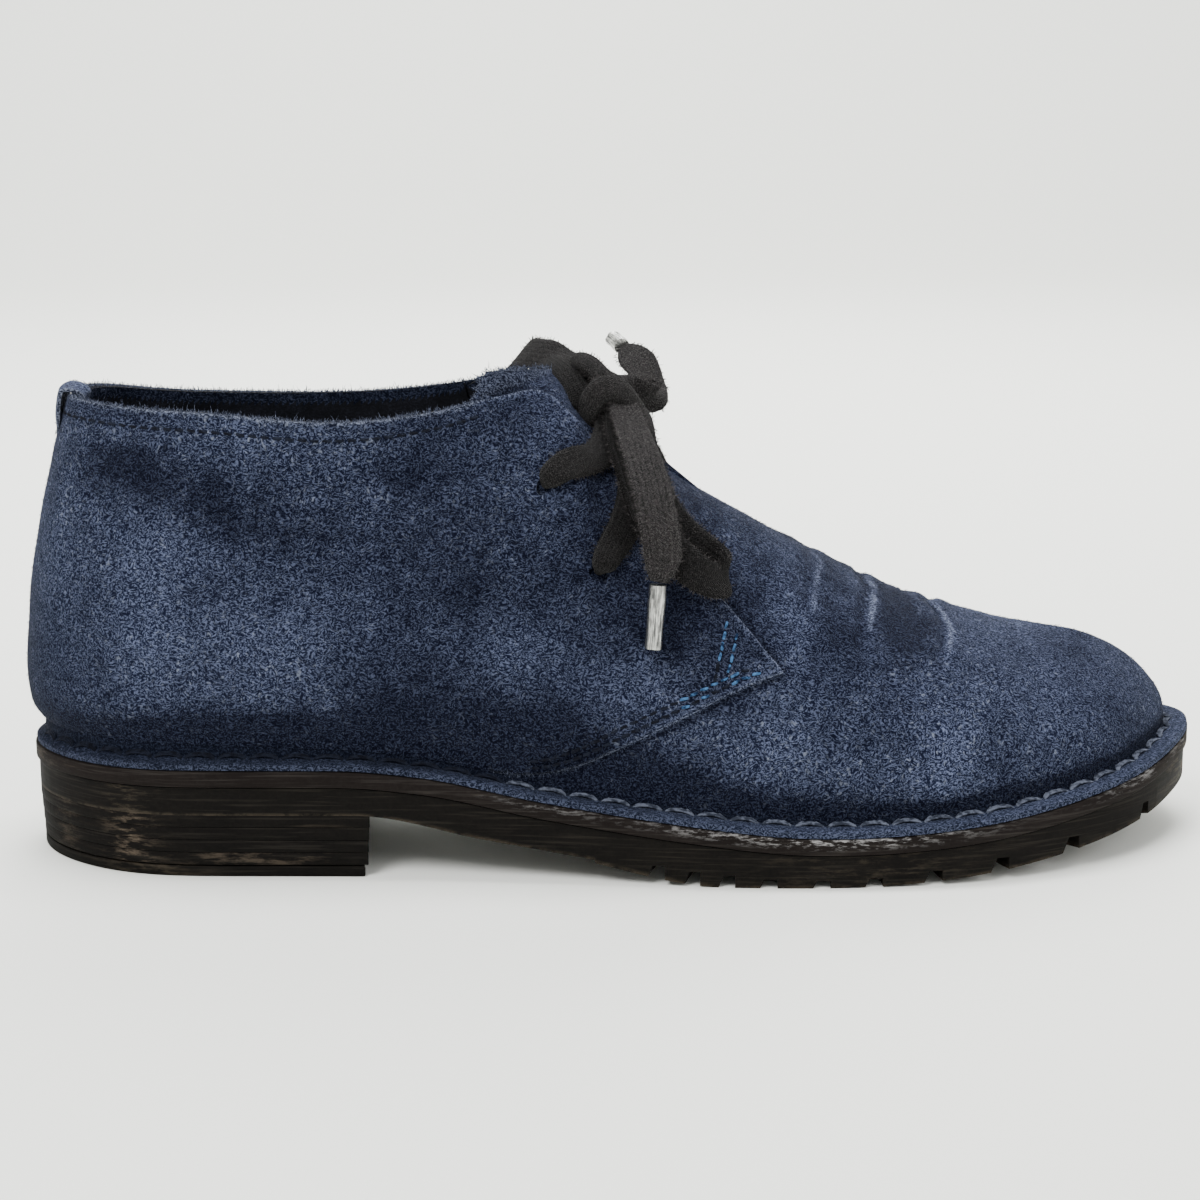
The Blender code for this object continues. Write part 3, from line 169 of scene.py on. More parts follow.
LACE_CROSSING_FAR = (
    (-4.7, 29.0, 78.4, 0.1, 0.98, 0.15, 5.0),
    (-2.6, 28.4, 82.0, 0.1, 0.96, 0.25, 7.0),
    (0.3, 26.8, 87.0, 0.1, 0.93, 0.35, 8.0),
    (2.2, 24.4, 92.2, 0.2, 0.86, 0.45, 8.0),
    (3.2, 21.6, 97.4, 0.35, 0.75, 0.55, 8.0),
    (3.1, 17.2, 101.9, 0.45, 0.6, 0.6, 8.0),
    (1.7, 11.0, 106.0, 0.6, 0.4, 0.7, 8.0),
    (0.6, 5.0, 109.4, 0.65, 0.15, 0.75, 8.0),
    (-1.0, -2.0, 111.1, 0.65, -0.1, 0.75, 8.0),
    (-3.0, -8.4, 110.0, 0.6, -0.3, 0.7, 7.0),
)
# between the lower eyelets, seen over the tongue between the facings
LACE_LOW_BAR = (
    (8.1, -26.4, 84.5, 0.39, -0.74, 0.55, 7.6),
    (9.9, -23.9, 86.8, 0.44, -0.66, 0.61, 7.6),
    (10.9, -20.9, 89.9, 0.49, -0.58, 0.65, 8.0),
    (10.5, -18.8, 91.7, 0.52, -0.53, 0.67, 8.0),
    (10.0, -15.4, 94.6, 0.56, -0.44, 0.70, 8.0),
    (9.2, -11.1, 97.7, 0.60, -0.33, 0.73, 8.0),
    (8.5, -6.8, 100.2, 0.63, -0.22, 0.75, 8.0),
    (7.8, -2.5, 102.5, 0.64, -0.11, 0.76, 8.0),
    (7.1, 2.2, 103.9, 0.65, 0.05, 0.76, 8.0),
    (8.3, 6.0, 102.2, 0.63, 0.13, 0.76, 8.0),
    (9.3, 9.9, 99.6, 0.60, 0.26, 0.76, 8.0),
    (10.2, 13.5, 96.7, 0.54, 0.41, 0.73, 8.0),
    (11.2, 17.1, 93.5, 0.47, 0.56, 0.69, 8.0),
    (11.9, 19.9, 90.7, 0.39, 0.67, 0.64, 8.0),
    (11.3, 21.9, 87.8, 0.30, 0.77, 0.57, 7.6),
    (9.6, 23.3, 85.6, 0.21, 0.85, 0.49, 7.6),
)
# the knot's core: centre, half sizes, turn about y in degrees
LACE_KNOT = ((-1.1, -3.2, 117.7), (7.6, 8.4, 3.6), 38.0)
LACE_LOOP_NEAR = (
    (-0.6, -8.4, 113.4, 0.4, -0.7, 0.6, 5.0),
    (0.2, -17.6, 108.6, 0.4, -0.8, 0.45, 7.5),
    (2.6, -25.8, 101.8, 0.4, -0.85, 0.35, 9.0),
    (5.6, -31.6, 93.2, 0.3, -0.9, 0.35, 9.0),
    (10.2, -35.8, 85.0, 0.2, -0.93, 0.35, 9.0),
    (16.4, -37.4, 78.6, 0.05, -0.94, 0.35, 9.0),
    (22.2, -36.8, 75.0, 0.3, -0.9, 0.35, 9.0),
    (25.6, -34.4, 74.6, 0.9, -0.2, 0.3, 9.0),
    (25.6, -31.6, 76.2, 0.8, 0.5, 0.0, 9.0),
    (22.0, -30.2, 79.2, 0.3, 0.9, -0.3, 9.0),
    (16.4, -29.4, 83.8, 0.0, 0.93, -0.35, 9.0),
    (11.4, -27.0, 89.8, -0.2, 0.9, -0.4, 9.0),
    (8.4, -22.6, 97.4, -0.4, 0.8, -0.45, 9.0),
    (6.6, -17.0, 105.4, -0.5, 0.7, -0.5, 7.5),
    (5.2, -8.4, 113.4, -0.6, 0.5, -0.6, 5.0),
)
LACE_LOOP_FAR = (
    (-7.2, 1.2, 120.9, 0.1, -0.5, 0.85, 5.0),
    (-12.4, 5.4, 123.4, 0.1, -0.5, 0.85, 7.5),
    (-18.0, 10.8, 124.0, -0.2, -0.8, 0.55, 9.0),
    (-22.6, 17.0, 123.6, -0.5, -0.6, 0.6, 9.0),
    (-24.7, 24.4, 121.0, -0.75, 0.35, 0.55, 9.0),
    (-25.8, 29.0, 113.4, -0.7, 0.65, 0.25, 9.0),
    (-25.2, 32.8, 107.6, -0.5, 0.8, 0.0, 9.0),
    (-23.8, 33.2, 101.4, -0.1, 0.6, -0.8, 9.0),
    (-21.0, 31.0, 102.2, 0.3, -0.6, -0.7, 9.0),
    (-19.4, 28.8, 107.6, 0.3, -0.9, -0.2, 9.0),
    (-18.0, 25.4, 113.8, 0.3, -0.85, -0.4, 9.0),
    (-15.0, 17.0, 118.6, 0.25, -0.85, -0.4, 8.5),
    (-10.4, 8.4, 119.4, 0.1, -0.95, 0.1, 7.5),
    (-5.0, 2.6, 118.2, 0.0, -0.9, 0.3, 5.5),
)
LACE_END_NEAR = (
    (0.8, -9.2, 116.4, 0.3, -0.7, 0.65, 6.4),
    (2.2, -15.4, 113.0, 0.35, -0.75, 0.55, 8.6),
    (4.2, -25.0, 107.8, 0.35, -0.85, 0.4, 9.8),
    (7.0, -34.0, 99.4, 0.3, -0.92, 0.3, 10.0),
    (9.0, -38.6, 90.0, 0.25, -0.92, 0.3, 10.0),
    (10.0, -40.2, 82.0, 0.2, -0.95, 0.3, 9.6),
    (9.4, -41.2, 78.0, 0.15, -0.95, 0.3, 7.0),
    (8.9, -41.7, 75.6, 0.15, -0.95, 0.3, 4.2),
)
LACE_END_FAR = (
    (6.4, -0.4, 116.2, 0.6, -0.5, -0.6, 6.0),
    (8.8, 2.4, 114.0, 0.3, -0.8, -0.4, 8.5),
    (9.9, 6.4, 114.8, 0.6, -0.6, 0.5, 9.6),
    (8.9, 10.4, 117.0, 0.5, -0.6, 0.6, 10.0),
    (6.6, 14.2, 121.0, 0.2, -0.75, 0.6, 10.0),
    (4.2, 17.8, 123.3, 0.0, -0.8, 0.6, 7.6),
    (2.8, 20.0, 124.2, 0.0, -0.8, 0.6, 4.2),
)
AGLET_NEAR = ((8.8, -42.0, 75.0), (7.6, -42.6, 59.4))
AGLET_FAR = ((2.2, 21.2, 124.6), (0.2, 29.4, 125.6))
AGLET_RADIUS = 2.15


# ---- curves ----

def spline(knots, values, at):
    """Natural cubic spline through values at knots, read at `at`."""
    knots, values, at = (np.asarray(x, float) for x in (knots, values, at))
    step = np.diff(knots)
    slope = np.diff(values) / step
    count = len(knots)
    system = np.eye(count)
    right = np.zeros(count)
    for i in range(1, count - 1):
        system[i, i - 1:i + 2] = step[i - 1], 2 * (step[i - 1] + step[i]), step[i]
        right[i] = 6 * (slope[i] - slope[i - 1])
    bend = np.linalg.solve(system, right)
    k = np.clip(np.searchsorted(knots, at) - 1, 0, count - 2)
    low, high = knots[k + 1] - at, at - knots[k]
    return (
        (bend[k] * low**3 + bend[k + 1] * high**3) / (6 * step[k])
        + (values[k] / step[k] - bend[k] * step[k] / 6) * low
        + (values[k + 1] / step[k] - bend[k + 1] * step[k] / 6) * high
    )


def glide(knots, values, at):
    """Curve through values at knots that never overshoots them."""
    knots, values, at = (np.asarray(x, float) for x in (knots, values, at))
    at = np.clip(at, knots[0], knots[-1])
    step = np.diff(knots)
    slope = np.diff(values) / step
    tangent = np.zeros(len(knots))
    same = slope[:-1] * slope[1:] > 0
    tangent[1:-1][same] = 2 * (slope[:-1] * slope[1:])[same] / (slope[:-1] + slope[1:])[same]
    tangent[0], tangent[-1] = slope[0], slope[-1]
    k = np.clip(np.searchsorted(knots, at) - 1, 0, len(knots) - 2)
    u = (at - knots[k]) / step[k]
    return (
        values[k] * (1 + 2 * u) * (1 - u)**2
        + values[k + 1] * u**2 * (3 - 2 * u)
        + step[k] * u * (1 - u) * (tangent[k] * (1 - u) - tangent[k + 1] * u)
    )


def run_of(line):
    """Distance along a line of points to each of them."""
    return np.concatenate([[0], np.cumsum(np.linalg.norm(np.diff(line, axis=0), axis=1))])


def read_at(at, run, line):
    """Places on a line at distances along its run."""
    return np.stack([np.interp(at, run, column) for column in line.T], -1)


def unit(ways):
    return ways / np.linalg.norm(ways, axis=-1, keepdims=True)


def hump(distance, width):
    """One at no distance, and fading away over about a width."""
    return np.exp(-(distance / width)**2)


X, LAT, MED, INSET, RISE, TOP_X, TOP_LAT, TOP_MED, TOP_Z_LAT, TOP_Z_MED, BULGE, LIFT, REACH, DROP = (
    np.array(column, float) for column in list(zip(*SECTIONS))[1:]
)


def section_knots():
    """Each section's place between heel back (0) and toe tip (1), the same on both sides."""
    lateral = np.hypot(np.diff(X), np.diff(LAT))
    medial = np.hypot(np.diff(X), np.diff(MED))
    run = np.concatenate([[0], np.cumsum(np.sqrt((lateral + medial) / 2))])
    return run / run[-1]


KNOTS = section_knots()
RIDGE_START = KNOTS[INSTEP_TOP]


def closed(lateral, medial, knots, turn):
    """Smooth closed curve: turn runs 0 to 2 * knots[-1], out along the lateral rows and back."""
    around = 2 * knots[-1]
    places = np.concatenate([knots, around - knots[-2:0:-1]])
    values = np.concatenate([lateral, medial[-2:0:-1]])
    wrapped = np.concatenate([places[-4:] - around, places, places[:5] + around])
    repeated = np.concatenate([values[-4:], values, values[:5]])
    return spline(wrapped, repeated, np.mod(turn, around))


def edge(turn):
    """The sole's edge seen from above: (n, 2)."""
    return np.stack([closed(X, X, KNOTS, turn), closed(LAT, MED, KNOTS, turn)], -1)


def inward(turn):
    """Unit vector into the sole, square to its edge."""
    along = unit(edge(turn + 1e-4) - edge(turn - 1e-4))
    return np.stack([-along[..., 1], along[..., 0]], -1)


def deck(x):
    """Top of the midsole."""
    return glide(*zip(*DECK), x) + toe_rise(x)


def toe_rise(x):
    share = np.clip((np.asarray(x, float) - SPRING_START) / (SOLE_TOE - SPRING_START), 0, None)
    return TOE_SPRING * share**2


def tread(x):
    """Face of the forepart's lugs, flat between the last row of TREAD and the one before."""
    return glide(*zip(*TREAD), x) + toe_rise(x)


def web(x):
    """Underside of the rubber between the lugs, at the waist and over the heel."""
    x = np.asarray(x, float)
    return np.where(x < TREAD_START, glide(*zip(*WAIST), x), tread(x) + glide(*zip(*LUG_DEPTH), x))


def flange_top(x):
    return deck(x) + GAP + FLANGE


# ---- the upper's surface ----

def foot(turn):
    """The foot line, where the upper's wall starts."""
    place = edge(turn) + inward(turn) * closed(INSET, INSET, KNOTS, turn)[..., None]
    height = flange_top(place[..., 0]) + closed(RISE, RISE, KNOTS, turn)
    return np.concatenate([place, height[..., None]], -1)


def ridge(along):
    """Ridge of the instep and vamp; along is the place between heel back and toe tip."""
    rows = slice(INSTEP_TOP, None)
    knots = KNOTS[rows]
    return np.stack([spline(knots, c[rows], along) for c in (TOP_X, TOP_LAT, TOP_Z_LAT)], -1)


def collar(turn):
    """Collar and the tongue's root, a closed loop through the rows up to the instep's top."""
    rows = slice(0, INSTEP_TOP + 1)
    knots = KNOTS[rows]
    pairs = ((TOP_X, TOP_X), (TOP_LAT, TOP_MED), (TOP_Z_LAT, TOP_Z_MED))
    return np.stack([closed(a[rows], b[rows], knots, turn) for a, b in pairs], -1)


def ridge_slope(along):
    step = 1e-3
    low = np.clip(along - step, RIDGE_START, 1)
    high = np.clip(along + step, RIDGE_START, 1)
    ahead, behind = ridge(high), ridge(low)
    run = np.maximum(ahead[..., 0] - behind[..., 0], 1e-6)
    return (ahead[..., 2] - behind[..., 2]) / run


def surface(a, b):
    """Outer face of the base layer at pattern place (a, b), in millimetres."""
    a, b = np.broadcast_arrays(np.asarray(a, float), np.asarray(b, float))
    turn = np.mod(a / HALF_TURN, 2)
    along = np.where(turn > 1, 2 - turn, turn)
    start, into, rim = foot(turn), inward(turn), edge(turn)
    open_rows = along < RIDGE_START
    loop_turn = np.where(turn > 1, 2 * RIDGE_START - along, along)
    top = np.where(
        open_rows[..., None],
        collar(np.where(open_rows, loop_turn, 0.0)),
        ridge(np.maximum(along, RIDGE_START)),
    )
    inwards = unit(top[..., :2] - start[..., :2])
    fade = np.clip((along - KNOTS[INSTEP_TOP - 1]) / (RIDGE_START - KNOTS[INSTEP_TOP - 1]), 0, 1)
    slope = ridge_slope(np.maximum(along, RIDGE_START)) * fade
    bulge, lift, reach, drop = (glide(KNOTS, c, along) for c in (BULGE, LIFT, REACH, DROP))
    first, second = start.copy(), top.copy()
    first[..., :2] -= into * bulge[..., None]
    first[..., 2] += lift
    second[..., :2] -= inwards * reach[..., None]
    second[..., 2] -= drop + reach * slope * inwards[..., 0]
    u = np.clip(b / TOP, 0, 1)[..., None]
    wall = (
        start * (1 - u)**3 + 3 * first * u * (1 - u)**2 + 3 * second * u**2 * (1 - u) + top * u**3
    )
    u = np.clip(1 + b / SKIRT, 0, 1)[..., None]
    low = start.copy()
    low[..., 2] = flange_top(start[..., 0])
    outer = np.concatenate([rim + into * 0.4, flange_top(rim[..., :1])], -1)
    flange = outer * (1 - u)**2 + 2 * low * u * (1 - u) + start * u**2
    above = np.clip(b - TOP, 0, None)[..., None] * np.array([-0.55, 0.0, 0.83])
    return np.where(b[..., None] < 0, flange, wall) + above


def pattern_place(x, z, medial):
    """Pattern place of the point on one side of the upper that is at x and z seen from the side."""
    low, high = np.array([0.0, 0.0]), np.array([HALF_TURN, TOP])
    centre, reach = (low + high) / 2, (high - low) / 2
    for _ in range(5):
        a, b = (np.linspace(centre[i] - reach[i], centre[i] + reach[i], 41) for i in (0, 1))
        a, b = np.meshgrid(np.clip(a, 0, HALF_TURN), np.clip(b, 0, TOP))
        found = surface(AROUND - a if medial else a, b)
        best = np.argmin(np.hypot(found[..., 0] - x, found[..., 2] - z))
        centre = np.array([a.flat[best], b.flat[best]])
        reach = reach * 0.15
    return centre


def top_place(x):
    """Pattern a, on the lateral side, of the point of the top line that is at x."""
    a = np.linspace(0, HALF_TURN, 3301)
    return a[np.argmin(np.abs(surface(a, TOP)[:, 0] - x))]



# ---- meshes ----

def inside(points, outline):
    """Whether each point lies inside a closed outline."""
    x, y = points[:, 0], points[:, 1]
    found = np.zeros(len(points), bool)
    for (x0, y0), (x1, y1) in zip(outline, np.roll(outline, -1, 0)):
        crosses = (y0 > y) != (y1 > y)
        if y1 != y0:
            found ^= crosses & (x < (x1 - x0) * (y - y0) / (y1 - y0) + x0)
    return found


def distance_to(points, line):
    """Distance of each point from an open line of points."""
    nearest = np.full(len(points), np.inf)
    for start, end in zip(line[:-1], line[1:]):
        run = end - start
        share = np.clip(((points - start) @ run) / max(run @ run, 1e-12), 0, 1)
        nearest = np.minimum(nearest, np.linalg.norm(points - start - share[:, None] * run, axis=1))
    return nearest


def closed_line(outline):
    return np.vstack([outline, outline[:1]])


def resampled(line, step):
    """The line with points an even step apart, its own corners left out."""
    run = run_of(line)
    return read_at(np.linspace(0, run[-1], max(2, round(run[-1] / step) + 1)), run, line)


def shifted(line, by):
    """A line on the flat pattern moved square to itself, to the left of its run."""
    along = unit(np.gradient(line, axis=0))
    return line + np.column_stack([-along[:, 1], along[:, 0]]) * by


def triangulate(points, lines, clearance):
    """Triangles over scattered points that follow the given lines, which keep the points clear."""
    points = np.asarray(points, float)
    for line in lines:
        points = points[distance_to(points, line) > clearance]
    places, edges = [Vector(p) for p in points], []
    for line in lines:
        first = len(places)
        places += [Vector(p) for p in line]
        edges += [(i, i + 1) for i in range(first, len(places) - 1)]
    flat, _, faces, *_ = delaunay_2d_cdt(places, edges, [], 0, 1e-4, False)
    return np.array([tuple(p) for p in flat]), np.array([tuple(f) for f in faces])


def weld(points, reach=0.01):
    """For each point the number of the first one that lies at the same place."""
    tree = kdtree.KDTree(len(points))
    for i, p in enumerate(points):
        tree.insert(p, i)
    tree.balance()
    return np.array([min(i for _, i, _ in tree.find_range(p, reach)) for p in points])


def vertex_normals(points, faces):
    corners = points[faces]
    face_normals = np.cross(corners[:, 1] - corners[:, 0], corners[:, 2] - corners[:, 0])
    total = np.zeros_like(points)
    for k in range(3):
        np.add.at(total, faces[:, k], face_normals)
    return total / np.maximum(np.linalg.norm(total, axis=1, keepdims=True), 1e-12)


def layered(faces, layers, level_points):
    """Closed solid from flat faces: each layer lies between level k and k + 1 on its own faces.

    Returns the points, the faces, each point's (flat number, level), and for each face whether
    it is an outer face, an inner face or a cut edge, with its layer: ("outer", layer) and so on.
    """
    numbers, places, sources, out, kinds = {}, [], [], [], []

    def vertex(i, level):
        if (i, level) not in numbers:
            numbers[i, level] = len(places)
            places.append(level_points[level][i])
            sources.append((i, level))
        return numbers[i, level]

    for level, mask in enumerate(layers):
        present = faces[mask]
        below = layers[level - 1] if level else np.zeros(len(faces), bool)
        above = layers[level + 1] if level + 1 < len(layers) else np.zeros(len(faces), bool)
        for i, j, k in faces[mask & ~above]:
            out.append((vertex(i, level + 1), vertex(j, level + 1), vertex(k, level + 1)))
            kinds.append(("outer", level))
        for i, j, k in faces[mask & ~below]:
            out.append((vertex(k, level), vertex(j, level), vertex(i, level)))
            kinds.append(("inner", level))
        directed = {(f[n], f[(n + 1) % 3]) for f in present for n in range(3)}
        for i, j in sorted(directed):
            if (j, i) not in directed:
                out.append((vertex(i, level), vertex(j, level), vertex(j, level + 1)))
                out.append((vertex(i, level), vertex(j, level + 1), vertex(i, level + 1)))
                kinds += [("cut", level), ("cut", level)]
    return np.array(places), out, np.array(sources), kinds


def carry(mesh, key, value):
    """Gives the points of a mesh a value for its finish."""
    layer = mesh.attributes.new(key, "FLOAT", "POINT")
    layer.data.foreach_set("value", np.asarray(value, np.float32))


def make(name, points, faces, materials, face_material=None, values=None, uv=None, sharp=40):
    """A named piece from points in millimetres, with a finish for each face.

    values maps an attribute's name to one value for each point, and uv gives one (u, v) in
    metres for each point.
    """
    mesh = bpy.data.meshes.new(name)
    mesh.from_pydata((np.asarray(points) * MM).tolist(), [], [tuple(map(int, f)) for f in faces])
    for finish in materials:
        mesh.materials.append(finish)
    if face_material is not None:
        mesh.polygons.foreach_set("material_index", np.asarray(face_material, np.int32))
    for key, value in (values or {}).items():
        carry(mesh, key, value)
    if uv is not None:
        corner = np.zeros(len(mesh.loops), np.int32)
        mesh.loops.foreach_get("vertex_index", corner)
        places = np.asarray(uv, np.float32)[corner]
        mesh.uv_layers.new(name="run").data.foreach_set("uv", places.ravel())
    mesh.update()
    mesh.shade_smooth()
    mesh.set_sharp_from_angle(angle=math.radians(sharp))
    made = bpy.data.objects.new(name, mesh)
    bpy.context.collection.objects.link(made)
    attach(made, "root")
    return made


def joined_copies(name, shape, places, finish, values=None, sharp=40):
    """One piece of many copies of a shape: (points, faces) in its own frame, places as 3 x 4."""
    points, faces = shape
    placed = [points @ place[:, :3].T + place[:, 3] for place in places]
    faces = [tuple(np.array(face) + n * len(points)) for n in range(len(places)) for face in faces]
    return make(name, np.vstack(placed), faces, [finish], values=values, sharp=sharp)


# ---- camera, lights and floor ----

def studio():
    """Camera, four round lamps, a pale world, and a floor that sweeps up behind."""
    camera = bpy.data.cameras.new("camera")
    camera.lens, camera.sensor_width = 75.0, 36.0
    camera.clip_start, camera.clip_end = 0.05, 20.0
    eye = bpy.data.objects.new("camera", camera)
    eye.matrix_world = (
        Matrix.Translation(Vector((-16.97, -628.79, 208.0)) * MM)
        @ Matrix.Rotation(math.radians(-1.15), 4, "Z")
        @ Matrix.Rotation(math.radians(76.9), 4, "X")
        @ Matrix.Rotation(math.radians(-0.36), 4, "Z")
    )
    bpy.context.collection.objects.link(eye)
    bpy.context.scene.camera = eye

    def area(name, place, target, size, power):
        light = bpy.data.lights.new(name, "AREA")
        light.shape, light.size, light.energy = "DISK", size, power
        lamp = bpy.data.objects.new(name, light)
        lamp.location = place
        away = Vector(place) - Vector(target)
        lamp.rotation_euler = away.to_track_quat("Z", "Y").to_euler()
        bpy.context.collection.objects.link(lamp)

    area("key", (-0.55, -0.75, 1.15), (0, 0, 0.05), 0.7, 20.0)
    area("fill", (0.95, -0.7, 0.7), (0, 0, 0.05), 0.9, 8.0)
    area("back", (0.1, 0.9, 0.9), (0, 0, 0.08), 0.9, 9.0)
    area("backdrop", (0.0, 0.35, 1.9), (0, 1.9, 0.75), 1.4, 95.0)

    world = bpy.data.worlds.new("studio")
    world.use_nodes = True
    sky = world.node_tree.nodes["Background"]
    sky.inputs["Color"].default_value = (0.80, 0.81, 0.79, 1)
    sky.inputs["Strength"].default_value = 0.95
    bpy.context.scene.world = world

    floor = bpy.data.meshes.new("floor")
    reach, front, bend_start, bend, high = 3.0, -2.4, 1.4, 0.8, 2.6
    sweep = [(front, 0.0), (bend_start, 0.0)]
    for t in np.linspace(0.1, math.pi / 2, 12):
        sweep.append((bend_start + bend * math.sin(t), bend - bend * math.cos(t)))
    sweep.append((bend_start + bend, high))
    points = [(x, y, z) for y, z in sweep for x in (-reach, reach)]
    faces = [(2 * i, 2 * i + 1, 2 * i + 3, 2 * i + 2) for i in range(len(sweep) - 1)]
    floor.from_pydata(points, [], faces)
    floor.shade_smooth()
    paint = bpy.data.materials.new("pale_floor")
    paint.use_nodes = True
    coat = paint.node_tree.nodes["Principled BSDF"].inputs
    coat["Base Color"].default_value = (0.84, 0.85, 0.81, 1)
    coat["Roughness"].default_value = 0.8
    floor.materials.append(paint)
    ground = bpy.data.objects.new("floor", floor)
    bpy.context.collection.objects.link(ground)


# ---- finishes ----

FIBRE_WANDER = 0.0034  # metres that the nap's fibres stray from straight
FLAKE = (0.27, 0.262, 0.262)  # colour of the sole edge's pale flaking
COTTON_SHADE = (0.0012, 0.0011, 0.0012)
COTTON_FLUFF = (0.088, 0.080, 0.081)


def add(tree, kind, settings=None, inputs=None):
    """A node with its settings, and inputs given as values or as other nodes' outputs."""
    made = tree.nodes.new(kind)
    for key, value in (settings or {}).items():
        setattr(made, key, value)
    for key, value in (inputs or {}).items():
        socket = made.inputs[key]
        if isinstance(value, bpy.types.NodeSocket):
            tree.links.new(value, socket)
        else:
            socket.default_value = value
    return made


def calc(tree, operation, a, b, clamp=False):
    settings = {"operation": operation, "use_clamp": clamp}
    return add(tree, "ShaderNodeMath", settings, {0: a, 1: b}).outputs[0]


def times(tree, a, b):
    return calc(tree, "MULTIPLY", a, b)


def mixture(tree, *parts):
    """Sum of values, each by its weight."""
    total = None
    for value, weight in parts:
        part = value if weight == 1 else times(tree, value, weight)
        total = part if total is None else calc(tree, "ADD", total, part)
    return total


def scaled(tree, vector, by):
    return add(tree, "ShaderNodeVectorMath", {"operation": "SCALE"}, {0: vector, 3: by}).outputs[0]


def spread(tree, value, low, high, to_low=0.0, to_high=1.0):
    """The value's range low to high laid out on another range, and held at its ends."""
    limits = {"From Min": low, "From Max": high, "To Min": to_low, "To Max": to_high}
    return add(tree, "ShaderNodeMapRange", {"clamp": True}, {"Value": value, **limits}).outputs[0]


def blend(tree, share, low, high):
    """Colours low and high mixed by a share."""
    mixed = add(tree, "ShaderNodeMix", {"data_type": "RGBA"})
    for index, value in ((0, share), (6, low), (7, high)):
        if isinstance(value, bpy.types.NodeSocket):
            tree.links.new(value, mixed.inputs[index])
        else:
            mixed.inputs[index].default_value = value if index == 0 else (*value, 1)
    return mixed.outputs[2]


def coated(tree, ground, *coats):
    """The ground colour with coats laid over it in turn, each a share and a colour."""
    for share, colour in coats:
        ground = blend(tree, share, ground, colour)
    return ground


def clouds(tree, scale, detail=3.0, roughness=0.55, stretch=None, turn=(0, 0, 0), at=None):
    """Noise on the piece's own place in metres, stretched along its axes where asked."""
    where = at or add(tree, "ShaderNodeTexCoord").outputs["Object"]
    if stretch is not None:
        where = add(tree, "ShaderNodeMapping", None, {
            "Vector": where, "Rotation": tuple(math.radians(t) for t in turn), "Scale": stretch,
        }).outputs[0]
    values = {"Vector": where, "Scale": scale, "Detail": detail, "Roughness": roughness}
    return add(tree, "ShaderNodeTexNoise", None, values).outputs["Fac"]


def carried(tree, name):
    """A value that the piece's points carry."""
    return add(tree, "ShaderNodeAttribute", {"attribute_name": name}).outputs["Fac"]


def run_place(tree):
    """The piece's own run, in metres."""
    return add(tree, "ShaderNodeUVMap", {"uv_map": "run"}).outputs[0]


def effect(name, inputs, outputs):
    """An empty node group of plain numbers: inputs with their values, and named outputs."""
    tree = bpy.data.node_groups.new(name, "ShaderNodeTree")
    for label, value in inputs.items():
        socket = tree.interface.new_socket(label, in_out="INPUT", socket_type="NodeSocketFloat")
        socket.default_value = value
    for label in outputs:
        tree.interface.new_socket(label, in_out="OUTPUT", socket_type="NodeSocketFloat")
    return tree, tree.nodes.new("NodeGroupInput"), tree.nodes.new("NodeGroupOutput")


def give(tree, out, values):
    """Leads values to a group's outputs."""
    for name, value in values.items():
        tree.links.new(value, out.inputs[name])
    return tree


def nap_effect():
    """Suede nap: fine pale wavelets of fibre, blotches where they lie differently, and height."""
    names = ("Fibres", "Blotches", "Flecks", "Height")
    tree, given, out = effect("suede nap", {"Fibre size": 1.0}, names)
    where = add(tree, "ShaderNodeTexCoord").outputs["Object"]
    uneven = add(tree, "ShaderNodeTexNoise", None, {"Vector": where, "Scale": 240.0}).outputs["Color"]
    shift = {0: scaled(tree, where, given.outputs[0]), 1: scaled(tree, uneven, FIBRE_WANDER)}
    moved = add(tree, "ShaderNodeVectorMath", {"operation": "ADD"}, shift).outputs[0]
    long = clouds(tree, 2900.0, 1.0, 0.5, (0.42, 0.9, 1.0), (0, 10, 0), moved)
    cross = clouds(tree, 3200.0, 1.0, 0.5, (0.75, 0.9, 0.6), (0, -38, 0), moved)
    both = calc(tree, "MAXIMUM", long, cross)
    fibres = calc(tree, "POWER", spread(tree, both, 0.50, 0.68), 1.2)
    broad, middle = clouds(tree, 22.0, 3.0, 0.5), clouds(tree, 95.0, 4.0, 0.6)
    broken = clouds(tree, 300.0, 2.0, 0.5)
    mixed = mixture(tree, (broad, 0.45), (middle, 0.3), (broken, 0.25))
    frost = clouds(tree, 1250.0, 2.0, 0.5, (0.8, 0.8, 0.8), (0, 30, 0), moved)
    flecks = times(tree, spread(tree, frost, 0.60, 0.70), spread(tree, mixed, 0.44, 0.58))
    return give(tree, out, {
        "Fibres": fibres, "Blotches": spread(tree, mixed, 0.38, 0.62), "Flecks": flecks,
        "Height": mixture(tree, (both, 1), (broken, 0.4)),
    })


